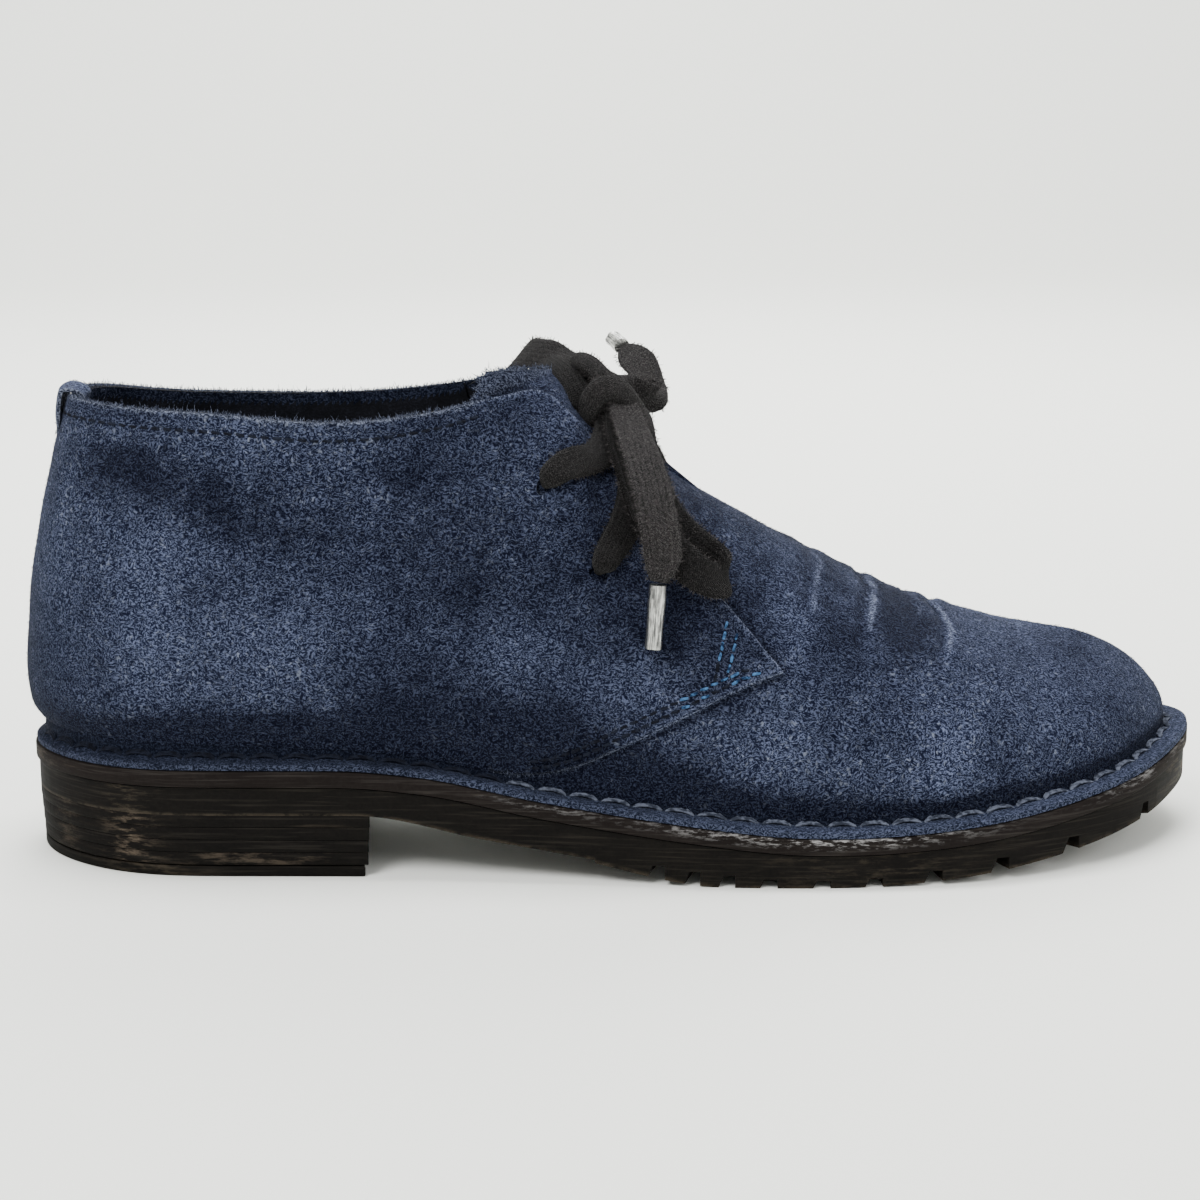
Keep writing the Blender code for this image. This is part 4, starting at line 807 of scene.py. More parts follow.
def wear_effect():
    """Wear of a sole: dust, pale scratches that run along it, and chips, each a mask."""
    inputs = {"Dust": 0.5, "Scratches": 0.5, "Chips": 0.2}
    tree, given, out = effect("sole wear", inputs, (*inputs, "Height"))
    powder = times(tree, clouds(tree, 60.0, 5.0, 0.7), clouds(tree, 900.0, 3.0, 0.7))
    lines = clouds(tree, 420.0, 4.0, 0.7, (0.06, 0.06, 1.0))
    broken = clouds(tree, 90.0, 2.0, 0.5)
    marks = times(tree, spread(tree, lines, 0.6, 0.72), spread(tree, broken, 0.45, 0.65))
    torn = clouds(tree, 260.0, 5.0, 0.7)
    limit = spread(tree, given.outputs["Chips"], 0.0, 1.0, 0.78, 0.45)
    chips = spread(tree, calc(tree, "SUBTRACT", torn, limit), 0.0, 0.04)
    grain = mixture(tree, (lines, 0.5), (torn, 0.5))
    return give(tree, out, {
        "Dust": times(tree, spread(tree, powder, 0.2, 0.42), given.outputs["Dust"]),
        "Scratches": times(tree, marks, given.outputs["Scratches"]),
        "Chips": chips,
        "Height": calc(tree, "SUBTRACT", grain, times(tree, chips, 0.25)),
    })


def weave_effect():
    """Flat braid on a band's own run (u along, v across): slanted threads in lengthwise ribs."""
    inputs = {"Thread": 0.0006, "Rib": 0.00149}
    tree, given, out = effect("flat weave", inputs, ("Threads", "Height", "Fluff"))
    parts = add(tree, "ShaderNodeSeparateXYZ", None, {0: run_place(tree)})
    along, across = parts.outputs[0], parts.outputs[1]
    share = calc(tree, "PINGPONG", calc(tree, "DIVIDE", across, given.outputs["Rib"]), 0.5)
    slanted = mixture(tree, (along, 1), (times(tree, share, given.outputs["Rib"]), 1.1))
    phase = calc(tree, "DIVIDE", slanted, given.outputs["Thread"])
    fluff = clouds(tree, 3200.0, 1.0, 0.6)
    uneven = clouds(tree, 1100.0, 2.0, 0.6)
    shaken = mixture(tree, (phase, 1), (uneven, 0.8))
    strand = calc(tree, "SINE", times(tree, shaken, 2 * math.pi), 0.0)
    bump = times(tree, spread(tree, strand, -1.0, 1.0), spread(tree, share, 0.0, 0.2, 0.5, 1.0))
    return give(tree, out, {
        "Threads": spread(tree, mixture(tree, (bump, 1), (uneven, 1.2)), 0.55, 1.5),
        "Height": mixture(tree, (bump, 0.8), (fluff, 0.7)),
        "Fluff": fluff,
    })


def finish_of(name, roughness, specular=0.5, metallic=0.0, sheen=0.0, sheen_roughness=0.5):
    """A new material, its tree and its shader, with what is the same all over set on the shader."""
    made = bpy.data.materials.new(name)
    made.use_nodes = True
    shader = made.node_tree.nodes["Principled BSDF"]
    for label, value in (
        ("Roughness", roughness), ("Specular IOR Level", specular), ("Metallic", metallic),
        ("Sheen Weight", sheen), ("Sheen Roughness", sheen_roughness),
    ):
        shader.inputs[label].default_value = value
    return made, made.node_tree, shader


def dress(tree, shader, colour, height, strength, distance):
    """Leads a colour and a fine relief to the shader."""
    values = {"Strength": strength, "Distance": distance, "Height": height}
    relief = add(tree, "ShaderNodeBump", None, values)
    tree.links.new(colour, shader.inputs["Base Color"])
    tree.links.new(relief.outputs[0], shader.inputs["Normal"])


NAP = nap_effect()
WEAR = wear_effect()
WEAVE = weave_effect()


def suede(name, deep, mid, pale, edge_colour):
    """Napped suede: deep between the fibres, paler where its points carry rubbed nap and painted light,
    darker where they carry painted shade.
    """
    made, tree, shader = finish_of(name, 0.95, 0.05, sheen=0.03, sheen_roughness=0.4)
    shader.inputs["Sheen Tint"].default_value = (0.62, 0.72, 1.0, 1)
    rub_and_painted_light, edge, crease = (carried(tree, key) for key in ("rub_and_painted_light", "raw_edge", "crease"))
    nap = add(tree, "ShaderNodeGroup", {"node_tree": NAP})
    fibres = nap.outputs["Fibres"]
    tone = mixture(tree, (nap.outputs["Blotches"], 0.5), (rub_and_painted_light, 1))
    tone = calc(tree, "ADD", tone, crease, True)
    shaded = tuple(0.5 * m + 0.15 * p for m, p in zip(mid, pale))
    colour = blend(tree, fibres, blend(tree, tone, deep, mid), blend(tree, tone, shaded, pale))
    lit = times(tree, nap.outputs["Flecks"], spread(tree, tone, 0.0, 0.8, 0.12, 0.55))
    cut = times(tree, edge, spread(tree, fibres, 0.0, 0.8, 0.05, 1.0))
    crest = times(tree, spread(tree, crease, 0.12, 0.8, 0.0, 0.32),
                  spread(tree, fibres, 0.0, 0.6, 0.3, 1.0))
    colour = coated(tree, colour, (lit, edge_colour), (cut, edge_colour), (crest, edge_colour))
    dress(tree, shader, colour, nap.outputs["Height"], 0.8, 0.00045)
    return made


def lining():
    """Thin dark lining: the flesh side of a smooth leather, worn in the blotches."""
    made, tree, shader = finish_of("lining", 0.8, 0.08)
    nap = add(tree, "ShaderNodeGroup", {"node_tree": NAP}, {"Fibre size": 0.8})
    shown = spread(tree, nap.outputs["Fibres"], 0.0, 1.0, 0.3, 1.0)
    tone = times(tree, nap.outputs["Blotches"], shown)
    colour = blend(tree, tone, (0.0016, 0.0018, 0.0028), (0.011, 0.012, 0.018))
    dress(tree, shader, colour, nap.outputs["Height"], 0.4, 0.0004)
    return made


def sole_finish(name, ground, other, dust_colour, mark_colour, amounts, roughness, relief=0.4):
    """Sole leather or rubber; its points carry their height share, scuffed and browned places.

    amounts is how much dust, how many scratches and chips, and how worn its lower rim is.
    """
    made, tree, shader = finish_of(name, roughness, 0.07)
    *worn_by, rim = amounts
    values = dict(zip(("Dust", "Scratches", "Chips"), worn_by))
    wear = add(tree, "ShaderNodeGroup", {"node_tree": WEAR}, values).outputs
    up, scuff, tan = (carried(tree, key) for key in ("up", "scuffed", "browned"))
    lines = clouds(tree, 260.0, 3.0, 0.6, (0.05, 0.05, 1.0))
    streaks = spread(tree, clouds(tree, 1500.0, 3.0, 0.6, (0.03, 0.03, 1.0)), 0.52, 0.66, 0.0, 0.7)
    patches = spread(tree, clouds(tree, 420.0, 6.0, 0.75, (0.3, 0.3, 1.5)), 0.49, 0.62)
    torn = spread(tree, clouds(tree, 1000.0, 5.0, 0.75, (0.22, 0.22, 1.0)), 0.51, 0.61)
    flaking = times(tree, times(tree, torn, scuff), spread(tree, up, 0.25, 0.85))
    frayed = spread(tree, clouds(tree, 220.0, 4.0, 0.7), 0.4, 0.55)
    worn_rim = times(tree, spread(tree, up, 0.12, 0.0), frayed)
    colour = coated(
        tree, ground,
        (clouds(tree, 70.0, 4.0, 0.6), other),
        (streaks, dust_colour),
        (times(tree, tan, patches), mark_colour),
        (wear["Dust"], dust_colour),
        (wear["Scratches"], mark_colour),
        (times(tree, wear["Chips"], 0.6), mark_colour),
        (flaking, FLAKE),
        (times(tree, worn_rim, rim), mark_colour),
    )
    dull = spread(tree, wear["Dust"], 0.0, 1.0, roughness, 0.95)
    tree.links.new(dull, shader.inputs["Roughness"])
    height = mixture(tree, (wear["Height"], 1), (lines, 0.8))
    height = calc(tree, "SUBTRACT", height, times(tree, flaking, 0.4))
    dress(tree, shader, colour, height, relief, 0.0006)
    return made


def lace_finish():
    """Braided cotton, fluffy, and darker towards COTTON_SHADE as painted shade where its points carry
    less painted light.
    """
    made, tree, shader = finish_of("lace_cotton", 0.95, 0.06, sheen=0.05, sheen_roughness=0.4)
    weave = add(tree, "ShaderNodeGroup", {"node_tree": WEAVE})
    colour = blend(tree, weave.outputs["Threads"], (0.0010, 0.0009, 0.0010), (0.026, 0.0240, 0.0243))
    shown = carried(tree, "lit_share")
    # painted shade: darker towards COTTON_SHADE where the points carry less painted light, in the knot
    # and the loops
    colour = blend(tree, shown, COTTON_SHADE, colour)
    fluff = times(tree, spread(tree, weave.outputs["Fluff"], 0.51, 0.63),
                  spread(tree, shown, 0.0, 1.0, 0.12, 0.78))
    dress(tree, shader, blend(tree, fluff, colour, COTTON_FLUFF), weave.outputs["Height"], 1.0, 0.0006)
    return made


def thread_finish(name, colour, other, shaded_by_lit_share=False):
    made, tree, shader = finish_of(name, 0.85, 0.1)
    tint = spread(tree, clouds(tree, 700.0, 2.0, 0.5), 0.4, 0.6)
    # the loose fibres darkened by the same painted light and shade
    if shaded_by_lit_share:
        tint = times(tree, tint, carried(tree, "lit_share"))
    dress(tree, shader, blend(tree, tint, colour, other), clouds(tree, 2600.0, 2.0, 0.5), 0.4, 0.0002)
    return made


def metal_finish():
    """Drawn metal, dulled in streaks along the tip's own run (u along, v round)."""
    made, tree, shader = finish_of("aglet_metal", 0.3, metallic=1.0)
    run = run_place(tree)
    streaks = clouds(tree, 2600.0, 3.0, 0.6, (0.05, 1.0, 1.0), at=run)
    spots = clouds(tree, 700.0, 3.0, 0.6, (0.4, 1.0, 1.0), at=run)
    bright = spread(tree, mixture(tree, (streaks, 0.6), (spots, 0.4)), 0.42, 0.58)
    tree.links.new(spread(tree, bright, 0.0, 1.0, 0.5, 0.2), shader.inputs["Roughness"])
    colour = blend(tree, bright, (0.10, 0.10, 0.10), (0.60, 0.60, 0.58))
    dress(tree, shader, colour, streaks, 0.4, 0.0002)
    return made


# colours of each suede: between the fibres, of dull and of rubbed fibres, and of cut or lit ones
SUEDE, SUEDE_EDGE, SHADED_SUEDE, NAP_FIBRE = (suede(*row) for row in (
    ("suede", (0.0010, 0.0015, 0.0055), (0.0056, 0.0079, 0.0212),
     (0.104, 0.123, 0.200), (0.20, 0.224, 0.290)),
    ("suede_cut_edge", (0.003, 0.004, 0.009), (0.011, 0.014, 0.027),
     (0.095, 0.110, 0.165), (0.15, 0.168, 0.225)),
    # the third suede is a darker copy, painted shade: it goes on the flange under the upper's overhang
    # and on the collar's turned-in band
    ("suede_shaded", (0.0014, 0.0022, 0.0058), (0.0050, 0.0073, 0.0165),
     (0.058, 0.069, 0.115), (0.075, 0.087, 0.135)),
    ("suede_fibre", (0.005, 0.0075, 0.018), (0.020, 0.026, 0.050),
     (0.13, 0.150, 0.215), (0.19, 0.21, 0.27)),
))
LINING = lining()
# ground and its clouds, dust, marks; amounts of wear, roughness, relief
MIDSOLE_FINISH, RUBBER, HEEL_FINISH, INSOLE_FINISH = (sole_finish(*row) for row in (
    ("midsole", (0.0040, 0.0030, 0.0028), (0.0085, 0.0062, 0.0054), (0.023, 0.020, 0.018),
     (0.09, 0.072, 0.055), (0.2, 0.22, 0.05, 0.0), 0.75),
    ("sole_rubber", (0.0016, 0.0014, 0.0013), (0.0040, 0.0034, 0.0028), (0.014, 0.012, 0.0095),
     (0.09, 0.072, 0.05), (0.25, 0.2, 0.05, 0.3), 0.7),
    ("heel_stack", (0.0018, 0.0016, 0.0015), (0.0045, 0.0038, 0.0032), (0.013, 0.0115, 0.0095),
     (0.085, 0.066, 0.048), (0.25, 0.18, 0.05, 0.0), 0.75, 0.7),
    ("insole", (0.006, 0.0055, 0.0055), (0.012, 0.0105, 0.010), (0.022, 0.02, 0.018),
     (0.035, 0.032, 0.028), (0.4, 0.2, 0.05, 0.0), 0.75),
))
COTTON = lace_finish()
COTTON_FIBRE = thread_finish("cotton_fibre", (0.006, 0.0055, 0.0055), (0.085, 0.078, 0.078), True)
WELT_THREAD = thread_finish("welt_thread", (0.020, 0.024, 0.036), (0.085, 0.096, 0.130))
SEAM_THREAD = thread_finish("seam_thread", (0.004, 0.012, 0.035), (0.045, 0.115, 0.24))
DARK_THREAD = thread_finish("dark_thread", (0.002, 0.0026, 0.006), (0.007, 0.009, 0.017))
AGLET_METAL = metal_finish()


# ---- working by hand ----

def pick_faces(obj, wanted):
    """In edit mode, select just the faces that the test wants."""
    bpy.ops.object.mode_set(mode="OBJECT")
    bpy.ops.object.mode_set(mode="EDIT")
    mesh = bmesh.from_edit_mesh(obj.data)
    bpy.ops.mesh.select_mode(type="FACE")
    bpy.ops.mesh.select_all(action="DESELECT")
    for face in mesh.faces:
        if wanted(face):
            face.select_set(True)
    bmesh.update_edit_mesh(obj.data)


def finished(obj, finish, node):
    """Gives a hand-made piece its finish and its place in the table."""
    obj.data.materials.clear()
    obj.data.materials.append(finish)
    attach(obj, "root")
    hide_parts(node)


def select_only(pieces):
    """Selects the pieces and takes the first of them in hand."""
    bpy.ops.object.select_all(action="DESELECT")
    for piece in pieces:
        piece.select_set(True)
    bpy.context.view_layer.objects.active = pieces[0]


def joined_up(pieces):
    """Joins pieces into one whose faces all look outwards."""
    select_only(pieces)
    bpy.ops.object.join()
    bpy.ops.object.mode_set(mode="EDIT")
    bpy.ops.mesh.select_all(action="SELECT")
    bpy.ops.mesh.normals_make_consistent(inside=False)
    bpy.ops.object.mode_set(mode="OBJECT")
    return bpy.context.object


def cross_cuts(shares, length):
    """Cuts across the piece in edit mode, at shares of its length along its own Z."""
    for share in shares:
        bpy.ops.mesh.select_all(action="SELECT")
        bpy.ops.mesh.bisect(plane_co=(0, 0, (share - 0.5) * length), plane_no=(0, 0, 1))


def outline(inset, spacing, start=0.0, end=2.0):
    """Points on the sole's edge, moved in by inset."""
    turns = np.linspace(start, end, 4001)
    line = edge(turns) + inward(turns) * inset
    run = run_of(line)
    return read_at(np.linspace(0, run[-1], int(run[-1] / spacing) + 1), run, line)


def turn_at(x, medial):
    """Turn of the sole's edge at x on one side, where the edge runs lengthwise."""
    turns = np.linspace(0.0, 0.8, 8001)
    turns = 2 - turns if medial else turns
    return turns[np.argmin(np.abs(edge(turns)[:, 0] - x))]


def heel_border(inset, breast, hollow):
    """Heel outline: the sole's edge behind the breast, closed by a slightly hollow front."""
    rim = outline(inset, BORDER_STEP, turn_at(breast, True) - 2, turn_at(breast, False))
    (_, high), (_, low) = rim[0], rim[-1]
    front = [
        (breast - hollow * (1 - (2 * s - 1)**2), low + (high - low) * s)
        for s in np.linspace(0, 1, 15)[1:-1]
    ]
    return np.vstack([rim, front])


def cut_out(name, border, low, high, stations=()):
    """A slab cut to a border, its faces crossed at each station along x and shaped in height.

    low and high give the height over each x of its underside and its top.
    """
    bpy.ops.object.select_all(action="DESELECT")
    bpy.ops.mesh.primitive_circle_add(vertices=len(border), radius=0.1, fill_type="NGON")
    made = bpy.context.object
    made.name = made.data.name = name
    for vertex, (x, y) in zip(made.data.vertices, border):
        vertex.co = (x * MM, y * MM, 0)
    bpy.ops.object.mode_set(mode="EDIT")
    bpy.ops.mesh.select_all(action="SELECT")
    bpy.ops.mesh.extrude_region_move(TRANSFORM_OT_translate={"value": (0, 0, 0.02)})
    for x in stations:
        bpy.ops.mesh.select_all(action="SELECT")
        bpy.ops.mesh.bisect(plane_co=(x * MM, 0, 0), plane_no=(1, 0, 0))
    bpy.ops.mesh.select_all(action="SELECT")
    bpy.ops.mesh.normals_make_consistent(inside=False)
    bpy.ops.object.mode_set(mode="OBJECT")
    xs = np.array([vertex.co.x for vertex in made.data.vertices]) / MM
    tops = np.array([vertex.co.z > 0.01 for vertex in made.data.vertices])
    heights = np.where(tops, high(xs), low(xs))
    for vertex, z in zip(made.data.vertices, heights):
        vertex.co.z = z * MM
    return made


def worn(obj, low, high, scuffs=(), browns=()):
    """Points carry their height share between low and high, and how scuffed and browned they are.

    scuffs and browns are (x, y, reach, strength): round places along the edge, seen from above.
    """
    places = np.array([vertex.co for vertex in obj.data.vertices]) / MM
    base, top = low(places[:, 0]), high(places[:, 0])
    values = {"up": np.clip((places[:, 2] - base) / (top - base), 0, 1)}
    for key, spots in (("scuffed", scuffs), ("browned", browns)):
        total = np.zeros(len(places))
        for x, y, reach, strength in spots:
            away = (places[:, 0] - x)**2 + (places[:, 1] - y)**2
            total += strength * np.exp(-away / reach**2)
        values[key] = np.clip(total, 0, 1)
    for key, value in values.items():
        carry(obj.data, key, value)


def soften(obj, width, angle=50, segments=2):
    """Bevels a piece's sharp edges and shades it smooth between those that are left."""
    bevel = obj.modifiers.new("soft edges", "BEVEL")
    bevel.width, bevel.segments, bevel.limit_method = width * MM, segments, "ANGLE"
    bevel.angle_limit = math.radians(angle)
    bevel.harden_normals = False
    bpy.context.view_layer.objects.active = obj
    bpy.ops.object.modifier_apply(modifier=bevel.name)
    bpy.ops.object.select_all(action="DESELECT")
    obj.select_set(True)
    bpy.ops.object.shade_smooth_by_angle(angle=math.radians(40))


# ---- upper ----

PATTERN_COLUMNS = 400
TONGUE_COLUMNS = 128   # pattern a where the columns that go on above the top line start
CLOSED_X = 6.0         # in front of this x the vamp closes up to the tongue
SUNK_X = 26.0          # behind this x the base layer lies sunk beside the tongue
SUNK = 0.3
CREASES = (
    # pattern line from the ridge down, depth, width
    (((213.5, 100.0), (212.2, 88.0), (208.2, 68.2), (206.0, 55.8), (205.0, 44.0)), 0.45, 1.3),
    (((226.2, 100.0), (225.4, 90.0), (223.2, 78.0), (220.0, 63.8), (217.0, 48.0)), 0.8, 1.4),
    (((239.0, 100.0), (238.0, 88.0), (235.0, 76.0), (233.0, 66.0)), 0.35, 1.4),
    (((246.0, 100.0), (246.0, 90.0), (244.5, 76.8), (238.5, 57.2), (236.5, 48.0)), 0.75, 1.5),
)
# soft hollows and swells of the standing upper: pattern place, size along and up, height
SWELLS = (
    (96.0, 70.0, 9.0, 30.0, -0.9), (112.0, 62.0, 8.0, 26.0, 0.6), (60.0, 78.0, 26.0, 9.0, 0.5),
    (30.0, 40.0, 30.0, 22.0, 0.5), (128.0, 34.0, 20.0, 14.0, -0.6), (170.0, 52.0, 16.0, 14.0, 0.5),
    (66.0, 30.0, 30.0, 14.0, 0.4), (225.0, 38.0, 26.0, 14.0, 0.5), (262.0, 40.0, 20.0, 18.0, -0.4),
    (0.0, 52.0, 26.0, 22.0, -0.9),
)
# places painted paler or darker: rubbed nap, painted light on lit swells, and painted shade in dents and
# low above the flange; x, z, reach along x, reach up, strength, outer side then inner
RUBS_AND_PAINTED_LIGHT_OUTER = (
    (-138, 92, 12, 18, 0.15), (-106, 110, 30, 5, 0.22), (-140, 70, 8, 26, 0.2), (-117, 64, 9, 22, 0.5),
    (-88, 62, 22, 12, 0.45), (-108, 82, 14, 7, 0.4), (-100, 46, 30, 5, 0.15), (-26, 57, 17, 10, 0.4),
    (-34, 80, 13, 13, -0.25), (-91, 102, 4, 9, 0.2), (-60, 70, 5, 16, 0.12), (2, 48, 16, 8, 0.4),
    (43, 62, 6, 16, 0.35), (36, 34, 20, 9, 0.4), (80, 31, 8, 12, 0.5), (105, 40, 18, 9, 0.25),
    (100, 54, 22, 6, 0.25), (126, 46, 14, 8, 0.1), (60, 66, 4, 12, 0.15), (24, 88, 12, 8, -0.2),
    (78, 24, 16, 5, 0.25),
    (-122, 102, 14, 6, -0.36), (-98, 93, 13, 6, -0.32), (-78, 86, 26, 4, -0.15), (-40, 40, 24, 11, -0.3),
    (-100, 36, 50, 6, -0.6), (-30, 33, 40, 6, -0.4), (73, 57, 7, 9, -0.3), (14, 66, 8, 14, -0.25),
    (-110, 29, 60, 5, -0.9), (-40, 27, 40, 5, -0.8), (-8, 90, 5, 30, -0.2),
)
RUBS_AND_PAINTED_LIGHT_INNER = (
    (-138, 88, 14, 20, 0.3), (-100, 60, 34, 14, 0.25), (-40, 80, 30, 16, 0.15), (62, 44, 30, 14, 0.3),
    (104, 54, 24, 8, 0.35), (10, 56, 24, 14, 0.2), (-90, 33, 70, 8, -0.3), (60, 24, 50, 6, -0.2),
)
# the slit in the quarters at the heel's back, under the tab: pattern half width at the top, and foot
BACK_SLIT = (6.5, 89.0)
FAR = 99.0             # stands for a place nowhere near an edge


def ease(value):
    """From nothing to one, starting and ending gently."""
    value = np.clip(value, 0, 1)
    return value * value * (3 - 2 * value)


def quarter_line(medial):
    """The quarter's front edge on the pattern, from the flange to the collar."""
    places = [pattern_place(x, z, medial) for _, x, z in QUARTER_EDGE]
    places[0][1] = 0.0
    places.append(np.array([top_place(COLLAR_END_X), TOP]))
    return np.array(places)


def throat_line(medial):
    """Where the lining ends under the facings, from the collar to the ridge."""
    places = [np.array([top_place(THROAT_REAR_X), TOP])]
    places += [pattern_place(x, z, medial) for _, x, z in THROAT_EDGE]
    places.append(np.array([top_place(THROAT_RIDGE_X), TOP]))
    return np.array(places)


def rounded(line, passes=2):
    """The line with its inner corners cut off, twice over."""
    for _ in range(passes):
        cut = [line[0]]
        for start, end in zip(line[:-1], line[1:]):
            cut += [start * 0.75 + end * 0.25, start * 0.25 + end * 0.75]
        line = np.array([*cut, line[-1]])
    return line


def flowing(line, step):
    """A smooth curve through a pattern line's points."""
    run = run_of(line)
    even = np.linspace(0, run[-1], max(3, round(run[-1] / step)))
    return np.stack([spline(run, column, even) for column in line.T], -1)


def quarter_border(medial, step=1.5):
    """The quarter's front edge, smooth but for its sharp corner over the vamp."""
    line = quarter_line(medial)
    corner = next(i for i, row in enumerate(QUARTER_EDGE) if row[0] == "corner")
    seam, facing = flowing(line[:corner + 1], step), flowing(line[corner:], step)
    facing[-1] = line[-1]
    return np.vstack([seam, facing[1:]])


def mirrored(line):
    return np.column_stack([AROUND - line[:, 0], line[:, 1]])


def eyelet_ring(x, z, medial, sides=14):
    a, b = pattern_place(x, z, medial)
    start = AROUND - a if medial else a
    here, step = surface(start, b), 0.5
    stretch_a = np.linalg.norm(surface(start + step, b) - here) / step
    stretch_b = np.linalg.norm(surface(start, b + step) - here) / step
    angles = np.arange(sides) * 2 * math.pi / sides
    return np.column_stack([
        a + np.cos(angles) * EYELET_RADIUS / stretch_a,
        b + np.sin(angles) * EYELET_RADIUS / stretch_b,
    ])


def tongue_border(medial):
    """Half of the tongue on the pattern, clear of the lining's edge."""
    line = rounded(throat_line(medial))
    moved = shifted(line, TONGUE_GAP)
    moved[0] = top_place(TONGUE_REAR_X[0]), TOP
    moved[-1] = line[-1] - (TONGUE_GAP, 0)
    middle = RIDGE_START * HALF_TURN
    corner = (top_place(TONGUE_REAR_X[1]), TOP + TONGUE_RISE[medial])
    return np.vstack([moved, [(middle, TOP), (middle, TOP + TONGUE_MIDDLE_RISE), corner]])


def creasing(a, b):
    """Height of the walking creases over the vamp, and how much each place is a rubbed crest, below
    nothing where painted shade darkens the crease's groove.
    """
    medial = a > HALF_TURN
    a = np.where(medial, AROUND - a, a)
    height, crest = np.zeros_like(a), np.zeros_like(a)
    for line, depth, width in CREASES:
        line = np.array(line)[::-1]
        across = (a - np.interp(b, line[:, 1], line[:, 0])) / width
        up = b - line[0, 1]
        along = ease((up + 6) / 22) * (0.75 + 0.25 * ease(up / 30))
        fold = 0.75 * hump(across - 2.2, 1.7) + 0.55 * hump(across + 2.3, 1.9)
        height += depth * along * (fold - hump(across, 1))
        rubbed = along * ease((up - 7) / 16) * hump(across - 1.2, 0.6)
        # rubbed crests paler, and painted shade in each crease's groove
        crest += (rubbed - 0.35 * along * hump(across + 0.3, 0.9)) * depth
    broken = np.array([noise.noise(Vector((x * 0.09, y * 0.16, 0.0))) for x, y in zip(a, b)])
    crest *= np.clip(0.95 + 1.1 * broken, 0.25, 1) * np.where(medial, 0.55, 1.0)
    return height, np.clip(crest, -0.3, 1)


def swelling(a, b, points):
    """Slow unevenness of the standing leather."""
    side = np.where(a > HALF_TURN, AROUND - a, a)
    height = np.zeros_like(a)
    for at, up, reach, rise, amount in SWELLS:
        height += amount * np.exp(-((side - at) / reach)**2 - ((b - up) / rise)**2)
    slow = np.array([
        noise.noise(Vector(p) * 0.035) + 0.35 * noise.noise(Vector(p) * 0.11) for p in points
    ])
    hold = ease((b - 4) / 22) * ease((TOP + 8 - b) / 22)
    return (height + slow * 0.7) * hold


def rubs_and_painted_light(a, points):
    """Share of rubbed nap and painted light on the suede at each point, below nothing where painted shade
    darkens it.
    """
    total = np.zeros(len(points))
    for tone_spots, here in ((RUBS_AND_PAINTED_LIGHT_OUTER, a <= HALF_TURN), (RUBS_AND_PAINTED_LIGHT_INNER, a > HALF_TURN)):
        for x, z, reach, rise, strength in tone_spots:
            away = ((points[:, 0] - x) / reach)**2 + ((points[:, 2] - z) / rise)**2
            total += np.where(here, strength * np.exp(-away), 0)
    return np.clip(total, -0.9, 1)


def upper_pattern():
    """The fine pattern: its places, points, normals and faces, and masks of its three layers."""
    quarters, throats, tongues, holes, lines, edges = [], [], [], [], [], []
    for medial in (False, True):
        flip = mirrored if medial else np.array
        border = quarter_border(medial)
        front_edge, throat = flip(border), flip(rounded(throat_line(medial)))
        edges.append(front_edge)
        heel, above = (AROUND if medial else 0.0), TOP + 20
        lines.append(front_edge)
        lines += [flip(shifted(border, inset)[3:-3]) for inset in (0.6, 1.5, -0.7)]
        half, foot_b = BACK_SLIT
        slit = np.array([(half, TOP), (half * 0.55, (TOP + foot_b) / 2), (0.0, foot_b)])
        slit = resampled(flip(slit), 1.0)
        lines.append(slit)
        quarters.append(np.vstack([front_edge, slit, [(heel, 0.0)]]))
        throats.append(np.vstack([throat, [(throat[-1, 0], above), (throat[0, 0], above)]]))
        lines.append(throat)
        tongues.append(flip(tongue_border(medial)))
        holes += [flip(eyelet_ring(x, z, medial)) for _, x, z in EYELETS]
    for line, _, width in CREASES:
        for off in (0.9, 1.35, 1.8, 2.6):
            crest = np.array(line)[1:] + (off * 1.2 * width / 1.6, 0)
            lines += [resampled(crest, 1.0), resampled(mirrored(crest), 1.0)]
    lines += [closed_line(shape) for shape in (*holes, *tongues)]
    rows = [-SKIRT, -7.4, -6.2, -5.0, -4.0, -3.2, -2.5, -1.8, -1.0, 0.0, 0.9]
    rows += list(np.linspace(2.0, 97.6, 56)) + [98.6, 99.4, TOP]
    columns = np.arange(PATTERN_COLUMNS + 1) * AROUND / PATTERN_COLUMNS
    grid = np.stack(np.meshgrid(columns, rows), -1).reshape(-1, 2)
    front = columns[(columns > TONGUE_COLUMNS) & (columns < AROUND - TONGUE_COLUMNS)]
    tongue_grid = np.stack(np.meshgrid(front, TOP + np.arange(1.2, 9, 1.2)), -1).reshape(-1, 2)
    flat, faces = triangulate(np.vstack([grid, tongue_grid]), lines, clearance=0.42)
    centres = flat[faces].mean(1)

    def within(shapes):
        return np.any([inside(centres, shape) for shape in shapes], axis=0)

    tongue = within(tongues)
    kept = (centres[:, 1] < TOP) | tongue
    upper = centres[:, 1] < TOP
    quarter = within(quarters) & (centres[:, 1] > 0) & ~within(holes)
    closed_front = np.abs(centres[:, 0] - HALF_TURN) < HALF_TURN - top_place(CLOSED_X)
    base = upper & ~within(holes) & (~within(throats) | (closed_front & ~tongue))
    points = surface(flat[:, 0], flat[:, 1])
    same = weld(points)
    faces = same[faces]
    for i, j in ((0, 1), (1, 2), (0, 2)):
        kept &= faces[:, i] != faces[:, j]
    faces = faces[kept]
    normals = vertex_normals(points, faces)
    return flat, points, normals, faces, quarter[kept], base[kept], tongue[kept], edges


